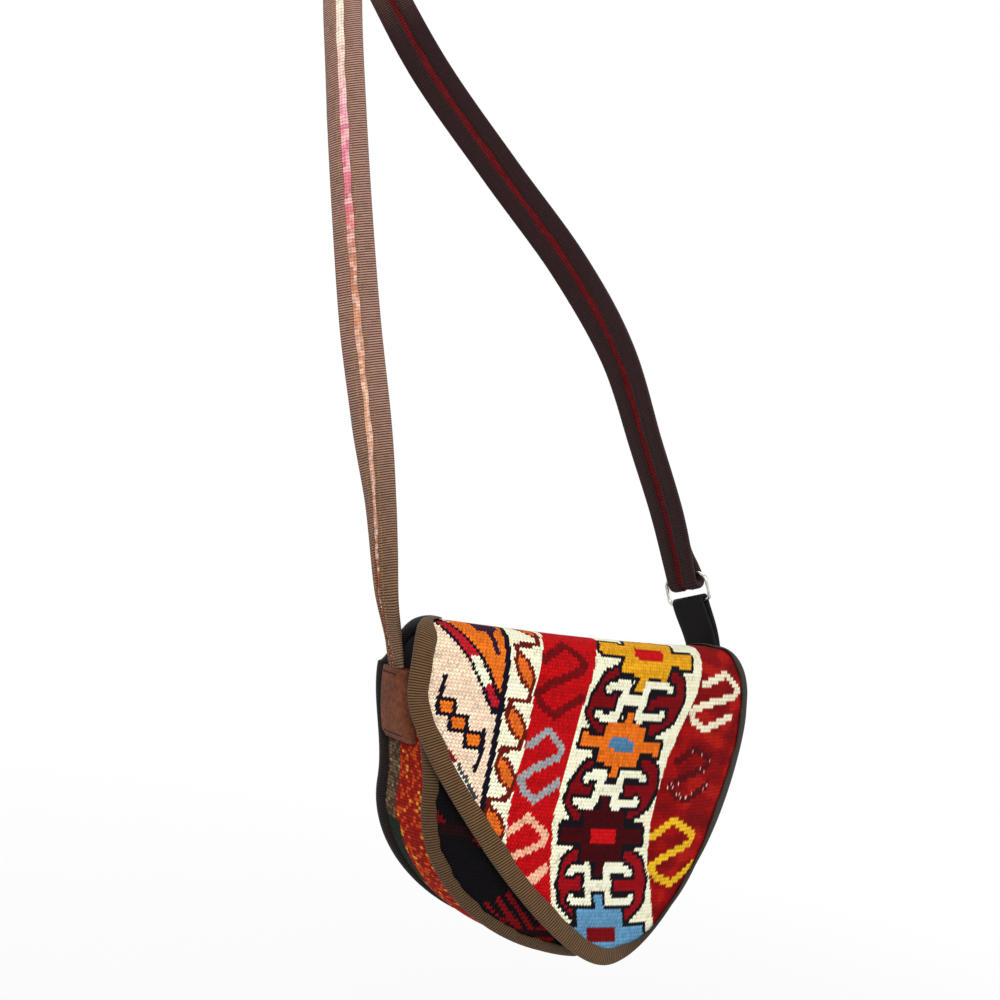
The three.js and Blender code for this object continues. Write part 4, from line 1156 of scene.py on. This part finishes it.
def spline(knots, places):
    """Centripetal spline through the knots, at places counted in knots"""
    knots = np.asarray(knots, float)
    padded = np.concatenate([[2 * knots[0] - knots[1]], knots, [2 * knots[-1] - knots[-2]]])
    k = np.minimum(np.floor(places).astype(int), len(knots) - 2)
    t = (places - k)[:, None]
    p0, p1, p2, p3 = (padded[k + step] for step in range(4))
    spans = (p1 - p0, p2 - p1, p3 - p2)
    gap = [np.maximum(np.linalg.norm(span, axis=1, keepdims=True) ** 0.5, 1e-4) for span in spans]
    gap[0] = np.where(gap[0] < 1e-3, gap[1], gap[0])
    gap[1] = np.where(gap[1] < 1e-3, 1, gap[1])
    leave = ((p1 - p0) / gap[0] - (p2 - p0) / (gap[0] + gap[1]) + (p2 - p1) / gap[1]) * gap[1]
    arrive = ((p2 - p1) / gap[1] - (p3 - p1) / (gap[1] + gap[2]) + (p3 - p2) / gap[2]) * gap[1]
    curve = (2 * p1 - 2 * p2 + leave + arrive) * t ** 3 + (3 * p2 - 3 * p1 - 2 * leave - arrive) * t ** 2
    return curve + leave * t + p1


def tab_shift(drop):
    """The strap's end is sewn on a little behind the middle of the gusset"""
    return 4.75 - 2.05 * drop / TAB_LENGTH


ring_pull = without(np.array(STRAP_KNOTS[-1][0]) - RING_BAR, RING_ALONG)
ring_out = unit(np.cross(RING_ALONG, ring_pull))
ring_top = RING_BAR + ring_pull * RING_LOW
LOOP_RADIUS = RING_WIRE / 2 + SLACK + STRAP_THICK_HALF
meet = ring_top - ring_out * LOOP_RADIUS
tab_top = gusset_end(-1, 0, STRAP_LIFT)[0] + backwards * (tab_shift(0) + CORE_ASIDE)
knot_places = [tab_top, tab_top + LEAVE_TAB] + [spot for spot, _ in STRAP_KNOTS]
knot_places += [meet + ring_pull * STRAP_LEAD, meet]
knot_across = [-backwards, np.array([0.14, -0.99, 0.0])] + [across for _, across in STRAP_KNOTS]
knot_across += [-RING_ALONG, -RING_ALONG]
in_tab, in_tab_up = [], []
for drop in TAB_LENGTH * np.arange(13, 0, -1) / 16:
    spot, outward, _ = gusset_end(-1, drop, STRAP_LIFT)
    in_tab.append(spot + backwards * (tab_shift(drop) + CORE_ASIDE))
    in_tab_up.append(-outward)
places = np.linspace(0, len(knot_places) - 1, 22 * (len(knot_places) - 1) + 1)
just_after, just_before = np.minimum(places + 0.01, places[-1]), np.maximum(places - 0.01, 0)
free_at = spline(knot_places, places)
free_way = unit(spline(knot_places, just_after) - spline(knot_places, just_before))
free_across = without(spline(knot_across, places), free_way)
free_up = np.cross(free_way, free_across)
turn_angles = np.linspace(0, math.pi, 15)[:, None]
loop_up = -ring_out * np.cos(turn_angles) - ring_pull * np.sin(turn_angles)
lie_close = 2 * STRAP_THICK_HALF + SLACK - LOOP_RADIUS
back_rise = np.linspace(1.5, 38, 16)
back_offset = LOOP_RADIUS + (lie_close - LOOP_RADIUS) * smooth(back_rise, 9.6, 23)
ending_at = ring_top + ring_out * back_offset[:, None] + ring_pull * back_rise[:, None]
strap_at = np.concatenate([in_tab, free_at[:-1], ring_top + loop_up * LOOP_RADIUS, ending_at])
loop_across = np.tile(-RING_ALONG, (len(loop_up) + len(ending_at), 1))
strap_across = np.concatenate([np.tile(-backwards, (len(in_tab), 1)), free_across[:-1], loop_across])
ending_up = np.tile(ring_out, (len(ending_at), 1))
strap_up = np.concatenate([in_tab_up, free_up[:-1], loop_up, ending_up])
strap_run = Line(strap_at).runs
ring_run = strap_run[-len(ending_at) - 8]
at_ring = smooth(strap_run, ring_run - 45, ring_run)
past_ring = smooth(strap_run, ring_run + 4, ring_run + 22)
end_share = 1 - RING_NARROWS * at_ring - END_NARROWS * past_ring
near_share = (1 - TAB_NARROWS * (1 - smooth(strap_run, 30, 110))) * end_share
far_share = (1 - FAR_NARROWS * (1 - smooth(strap_run, 45, 190))) * end_share
strap_fold = STRAP_FOLD * smooth(strap_run, 36, 60) * (1 - smooth(strap_run, 600, 700))
strap_flat = 0.6 + 0.4 * smooth(strap_run, 34, 70)
print("strap:", round(strap_run[-1]), "mm,", len(strap_at), "steps")

# %% [markdown]
# The three strips of the strap share those steps. The wool line changes colour along the strap, because
# it too was cut from an old rug: brown and peach near the tab, a stretch of pink, cream at the top, and
# deep red on the way to the ring, painted darker still as shade on the leg behind.

# %% strap strips
# from 520 mm on, the red wool is painted darker as shade on the leg behind
CORE_COLOURS = [
    (0, (140, 66, 48)), (90, (156, 78, 56)), (118, (196, 142, 116)), (150, (212, 158, 128)),
    (200, (226, 172, 136)), (250, (210, 146, 112)), (290, (206, 140, 112)), (318, (224, 128, 130)),
    (345, (232, 128, 148)), (376, (236, 142, 162)), (396, (244, 186, 190)), (412, (246, 208, 190)),
    (462, (252, 236, 212)), (520, (246, 220, 184)), (620, (96, 22, 24)), (1300, (84, 11, 16)),
]


def follow_ring(made):
    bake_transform(made)


def along_strap(section, closer=None):
    """A section carried along the strap; towards the tab its far half narrows and folds back"""
    section = np.asarray(section, float)
    x, height = section[None, :, 0], section[None, :, 1] * strap_flat[:, None]
    if closer is not None:
        x = x - closer[:, None] * np.sign(x) * np.clip((8 - abs(x)) / 5.7, 0, 1)
    far = x < 0
    wide = x * np.where(far, far_share[:, None], near_share[:, None])
    turn = far * strap_fold[:, None]
    sideways = wide * np.cos(turn) + height * np.sin(turn)
    upwards = height * np.cos(turn) - wide * np.sin(turn)
    aside = strap_across[:, None] * sideways[..., None]
    points = strap_at[:, None] + aside + strap_up[:, None] * upwards[..., None]
    across = np.concatenate([[0], np.cumsum(np.linalg.norm(np.diff(section, axis=0), axis=1))])
    return points, cloth_map(strap_run, across)


def paint_core(counts):
    run = counts[:, 1] * STITCH[1]
    marks = np.array([mark for mark, _ in CORE_COLOURS], float)
    stops = np.array([dye(*colour) for _, colour in CORE_COLOURS])
    colours = np.stack([np.interp(run, marks, stops[:, k]) for k in range(3)], 1)
    faded = (yarn_chance.random(len(run)) < 0.4) & (run < 404)
    colours[faded] = 0.5 * colours[faded] + 0.5 * dye(250, 216, 202)
    return uneven(colours, 0.11)


core_half = STRAP_HALF - 1.1
core_front = [(-core_half, 1.0), (-6, 1.25), (-3, 1.3), (-1.5, 1.4), (0, 1.45)]
core_front += [(-x, z) for x, z in core_front[-2::-1]]
core_back = [(core_half, -1.0), (3, -1.3), (0, -1.45), (-3, -1.3), (-core_half, -1.0)]
core_section = core_front + core_back + core_front[:1]
core_points, core_map = along_strap(core_section)
core_counts = core_map[..., ::-1] / np.array([STITCH[0] / 2, STITCH[1]])
core_bm = strip(core_points, core_counts, turn_over=True, weld=True, paint=paint_core)
follow_ring(piece("strap_wool_line", core_bm, cord_wool, body=None, nodes=["strap_core"], slot="strap_wool"))


def paint_tape(cloth):
    """Lighter and greyer up the strap, darker and more olive near the tab, painted shade on the leg behind"""
    low, behind = (1 - smooth(cloth[:, 0], 60, 260))[:, None], smooth(cloth[:, 0], 520, 660)[:, None]
    colours = dye(138, 104, 90) * (1 - low) + dye(106, 79, 57) * low
    # painted shade: the tape on the leg behind is painted nearly black
    colours = colours * (1 - behind) + dye(34, 11, 11) * behind
    return uneven(colours, 0.06)


tape_over = [(2.3, 1.6), (2.5, 2.05), (4.4, 2.3), (8, 2.4), (12, 2.3), (13.3, 1.9), (13.9, 1.0)]
tape_path = tape_over + [(14.0, 0.0)] + [(x, -z) for x, z in tape_over[::-1]]
STRAP_TAPE_THICK = 0.5
STRAP_TAPES = [(1, "strap_tape_a", "strap_tape_front"), (-1, "strap_tape_b", "strap_tape_rear")]
for side, tape_name, tape_node in STRAP_TAPES:
    wander = 0.3 * np.sin(0.23 * strap_run + side) + 0.25 * np.sin(0.097 * strap_run)
    closer = 0.9 * (1 - smooth(strap_run, 120, 360)) + wander
    tape_points, tape_map = along_strap([(side * x, z) for x, z in tape_path], closer)
    tape_bm = strip(tape_points, tape_map, turn_over=side > 0, paint=paint_tape)
    follow_ring(piece(
        tape_name, tape_bm, strap_tape_look, body=None, nodes=[tape_node], slot="brown_tape",
        thickness=STRAP_TAPE_THICK,
    ))

# %% [markdown]
# ## Leather tabs
# On the left a suede patch is sewn over the strap's end like a low tunnel, and its lower edge is pressed
# flat on the gusset. On the right a folded strip of dark leather is sewn to the gusset, runs up to the
# ring's straight bar and turns round it. Both are strips with a section or a width, and a Solidify
# modifier gives the leather its thickness.

# %% tabs
TAB_ROWS, TAB_SHOWN, TAB_LEATHER, RING_LEATHER = 30, 41.5, 1.8, 1.9
TAB_HALF, TAB_SPREAD, TAB_HEIGHT, TAB_PRESSED, TAB_BEVEL = 9.2, 4.6, 6.9, 2.7, 4.1
tab_points, tab_map = [], []
for drop in np.linspace(0, TAB_SHOWN, TAB_ROWS):
    low, tab_outward, _ = gusset_end(-1, drop, 0)
    low = low + backwards * tab_shift(drop)
    half = TAB_HALF + TAB_SPREAD * smooth(drop, 0, TAB_SHOWN)
    flat_down = smooth(drop, 36, 41)
    top_height = TAB_HEIGHT - TAB_PRESSED * flat_down - 0.4 * (1 - smooth(drop, 0, 3))
    bevel = TAB_BEVEL - 0.3 * flat_down
    half_path = [
        (half, 1.9), (half, 3.1), (half - 0.5, bevel), (half - 0.9, 0.75 * top_height + 0.25 * bevel),
        (half - 2.2, top_height), (4, top_height + 0.15),
    ]
    path = [(-y, h) for y, h in half_path] + [(0, top_height + 0.2)] + half_path[::-1]
    tab_points.append([low + backwards * y + tab_outward * h for y, h in path])
    tab_map.append([(drop, y) for y, h in path])
strap_tab_bm = strip(np.array(tab_points), np.array(tab_map, float), turn_over=True)
piece("suede_strap_tab", strap_tab_bm, suede, nodes=["strap_tab"], slot="tan_leather", thickness=TAB_LEATHER)

RING_TAB_LIFT, LEAF_GAP, BAR_LOOP, RING_TAB_HALF = 3.95, 1.15, 2.7, 13.5
sewn = [gusset_end(1, drop, RING_TAB_LIFT) for drop in np.linspace(TAB_LENGTH, 0, 14)]
lead_line = Line(bezier(
    sewn[-1][0], sewn[-1][0] + gusset_end(1, 0, 0)[2] * 35, RING_BAR - ring_pull * 14.5, RING_BAR
))
lead_share = np.linspace(0, 1, 26)[1:, None]
lead_at, lead_way = lead_line.at(lead_share[:, 0]), lead_line.way(lead_share[:, 0], 0.02)
lead_across = without(backwards * (1 - lead_share) + RING_ALONG * lead_share, lead_way)
lead_up = np.cross(lead_across, lead_way)
lead_half = LEAF_GAP + (BAR_LOOP - LEAF_GAP) * smooth(lead_share, 0.25, 1)
spine_at = np.concatenate([[spot for spot, _, _ in sewn], lead_at])
spine_up = np.concatenate([[out for _, out, _ in sewn], lead_up])
spine_across = np.concatenate([np.tile(backwards, (len(sewn), 1)), lead_across])
spine_half = np.concatenate([np.full((len(sewn), 1), LEAF_GAP), lead_half])
onward = unit(np.cross(lead_up[-1], lead_across[-1]))
bar_angles = np.linspace(0, math.pi, 15)[1:-1, None]
round_bar = spine_at[-1] + (lead_up[-1] * np.cos(bar_angles) + onward * np.sin(bar_angles)) * BAR_LOOP
front_leaf, back_leaf = spine_at + spine_up * spine_half, spine_at - spine_up * spine_half
leaf_at = np.concatenate([front_leaf, round_bar, back_leaf[::-1]])
bar_across = np.tile(lead_across[-1], (len(round_bar), 1))
leaf_across = np.concatenate([spine_across, bar_across, spine_across[::-1]])
tab_columns = np.linspace(-RING_TAB_HALF, RING_TAB_HALF, 9)
ring_tab_points = leaf_at[:, None] + leaf_across[:, None] * tab_columns[None, :, None]
ring_tab_map = cloth_map(Line(leaf_at).runs, tab_columns)
piece(
    "leather_ring_tab", strip(ring_tab_points, ring_tab_map), dark_leather, nodes=["ring_tab"],
    slot="dark_leather", thickness=RING_LEATHER, offset=0.0,
)

# %% [markdown]
# ## The D-ring and the snap
# The ring is bent nickel-plated wire: a straight bar in the leather and an arch for the strap. It is a
# round section carried along the D, welded into a closed loop. Worn plating is duller in places, which a
# soft noise on the roughness gives. The snap's solids already have the right shape, so they only get a
# better brass.

# %% metal
def metal(name, bright, dull, smoothness):
    look, tree, shader = new_look(name, {"Metallic": 1})
    wear = noise_at(tree, node(tree, "ShaderNodeTexCoord").outputs["Object"], 300.0, 4.0)
    tones = {0: wear.socket, 6: (*dye(*bright), 1), 7: (*dye(*dull), 1)}
    tone = node(tree, "ShaderNodeMix", tones, data_type="RGBA").outputs[2]
    fill(tree, shader, {"Base Color": tone, "Roughness": (wear * 0.22 + smoothness).socket})
    return look


nickel = metal("worn_nickel", (226, 224, 220), (170, 166, 160), 0.12)
brass = metal("satin_brass", (206, 172, 104), (150, 118, 62), 0.25)
RING_HALF, ARCH_FOOT, ARCH_PULL = 18.4, 8, 2
ring_rise = RING_HEIGHT + RING_WIRE
arch_foot, arch_pull = ring_rise - ARCH_FOOT, ring_rise - ARCH_PULL
corner_bend = RING_CORNER / 3
half_d = joined(
    np.array([[0, 0], [RING_HALF - RING_CORNER, 0]]),
    bezier(
        (RING_HALF - RING_CORNER, 0),
        (RING_HALF - corner_bend, 0),
        (RING_HALF, corner_bend),
        (RING_HALF, RING_CORNER),
    ),
    np.array([[RING_HALF, RING_CORNER], [RING_HALF, arch_foot]]),
    bezier((RING_HALF, arch_foot), (RING_HALF, arch_pull), (RING_HALF / 2, ring_rise), (0, ring_rise)),
)
d_line = Line(both_sides(half_d, 1))
d_share = np.linspace(0, 1, 145)
d_flat, d_way = d_line.at(d_share), d_line.way(d_share, closed=True)
d_at = RING_BAR + d_flat[:, :1] * RING_ALONG + d_flat[:, 1:] * ring_pull
d_side = d_way[:, 1:] * RING_ALONG - d_way[:, :1] * ring_pull
wire_angles = np.linspace(0, 2 * math.pi, 15)
wire = np.cos(wire_angles)[None, :, None] * d_side[:, None] + np.sin(wire_angles)[None, :, None] * ring_out
d_points = d_at[:, None] + RING_WIRE / 2 * wire
d_map = cloth_map(d_share * d_line.length, wire_angles)
d_bm = strip(d_points, d_map, weld=True)
piece("wire_d_ring", d_bm, nickel, body="ring", nodes=["d_ring"], slot="steel")
for snap in ("snap_socket", "snap_stud"):
    bpy.data.objects[snap].material_slots[0].material = brass

# %% [markdown]
# ## Sewing thread
# Rows of short stitches hold the tape and the tabs. Each stitch is a tiny bar that lies along the seam,
# so a bar of six faces is enough. All stitches of one seam are one piece: light thread on the strap's
# front leg, dark thread on the suede tab, and dark thread as painted shade on the leg behind.

# %% stitches
def stitch_row(name, lines, thread, body, look):
    spots, ways, ups = lines
    length, width = thread
    bm = bmesh.new()
    for spot, way, up in zip(to_frame(spots), unit(ways), unit(ups)):
        across = np.cross(up, way)
        columns = np.eye(4)
        columns[:3, 0], columns[:3, 1], columns[:3, 2] = way * length, across * width, up * width
        columns[:3, 3] = spot * 1000
        bmesh.ops.create_cube(bm, size=1, matrix=Matrix((columns / 1000).tolist()))
    return piece(name, bm, look, body=body, slot="brown_tape")


def strap_seam(offset, height, low, high):
    every = np.arange(low, high, SEAM_PITCH)
    seam_line = along_strap([(offset, height)])[0][:, 0]
    spots, ups = (
        np.stack([np.interp(every, strap_run, values[:, k]) for k in range(3)], 1)
        for values in (seam_line, strap_up)
    )
    return spots, np.gradient(spots, axis=0), ups


SEAM_PITCH, SEAM_CHANGE, SEAM_ASIDE, SEAM_HEIGHT = 3.4, 590.0, 4.6, 2.3
STRAP_THREAD, TAB_THREAD = (2.2, 0.5), (1.9, 0.7)
SEAMS = [
    ("strap_seam_light", 40, SEAM_CHANGE, thread_look),
    # painted shade: past SEAM_CHANGE the thread is dark like the shaded leg behind
    ("strap_seam_dark", SEAM_CHANGE, strap_run[-1] - 4, dark_thread),
]
for seam, low, high, look in SEAMS:
    rows = [
        strap_seam(aside, height, low, high)
        for aside in (SEAM_ASIDE, -SEAM_ASIDE) for height in (SEAM_HEIGHT, -SEAM_HEIGHT)
    ]
    spots, ways, ups = (np.concatenate(lines) for lines in zip(*rows))
    follow_ring(stitch_row(seam, (spots, ways, ups), STRAP_THREAD, None, look))

tab_spots, tab_ways, tab_ups = [], [], []
for row in (2, TAB_ROWS - 4):
    across_tab = np.array(tab_points[row])
    for share in np.linspace(-0.82, 0.82, 9):
        column = (share + 1) / 2 * (len(across_tab) - 9) + 4
        left = int(column)
        tab_ways.append(across_tab[left + 1] - across_tab[left])
        tab_ups.append(gusset_end(-1, TAB_SHOWN * row / TAB_ROWS, 0)[1])
        tab_spots.append(across_tab[left] + (column - left) * tab_ways[-1] + TAB_LEATHER * tab_ups[-1])
stitch_row("tab_stitches", map(np.array, (tab_spots, tab_ways, tab_ups)), TAB_THREAD, "bag", dark_thread)

# %% [markdown]
# ## The flat sizes of the cloths
# The flat size that each cloth was cut to is printed, with the flat areas of the two panels.

# %% flat sizes
GUSSET_WIDE = 0.045


def cut_area(half_at, low, high):
    """Flat area of a panel, from its half widths, in square metres"""
    return 2 * np.mean(half_at(np.linspace(low, high, 800))) * (high - low) / 1e6


flap_area = cut_area(panel_half, BACK_END, FLAP_LENGTH)
front_area = cut_area(front_half_at, -PANEL_BOTTOM, -MOUTH_DROP)
flap_flat = (2 * FLAP_HALF / 1000, (FLAP_LENGTH - BACK_END) / 1000)
front_flat = (2 * (MOUTH_HALF + FRONT_FLANGE) / 1000, (PANEL_BOTTOM - MOUTH_DROP) / 1000)
gusset_flat = (GUSSET_WIDE, gusset_line.length / 1000)
for cut_name, cut_flat in (("flap", flap_flat), ("front", front_flat), ("gusset", gusset_flat)):
    print("flat cut:", cut_name, np.round(cut_flat, 3))
print("flat areas:", round(flap_area, 4), round(front_area, 4))
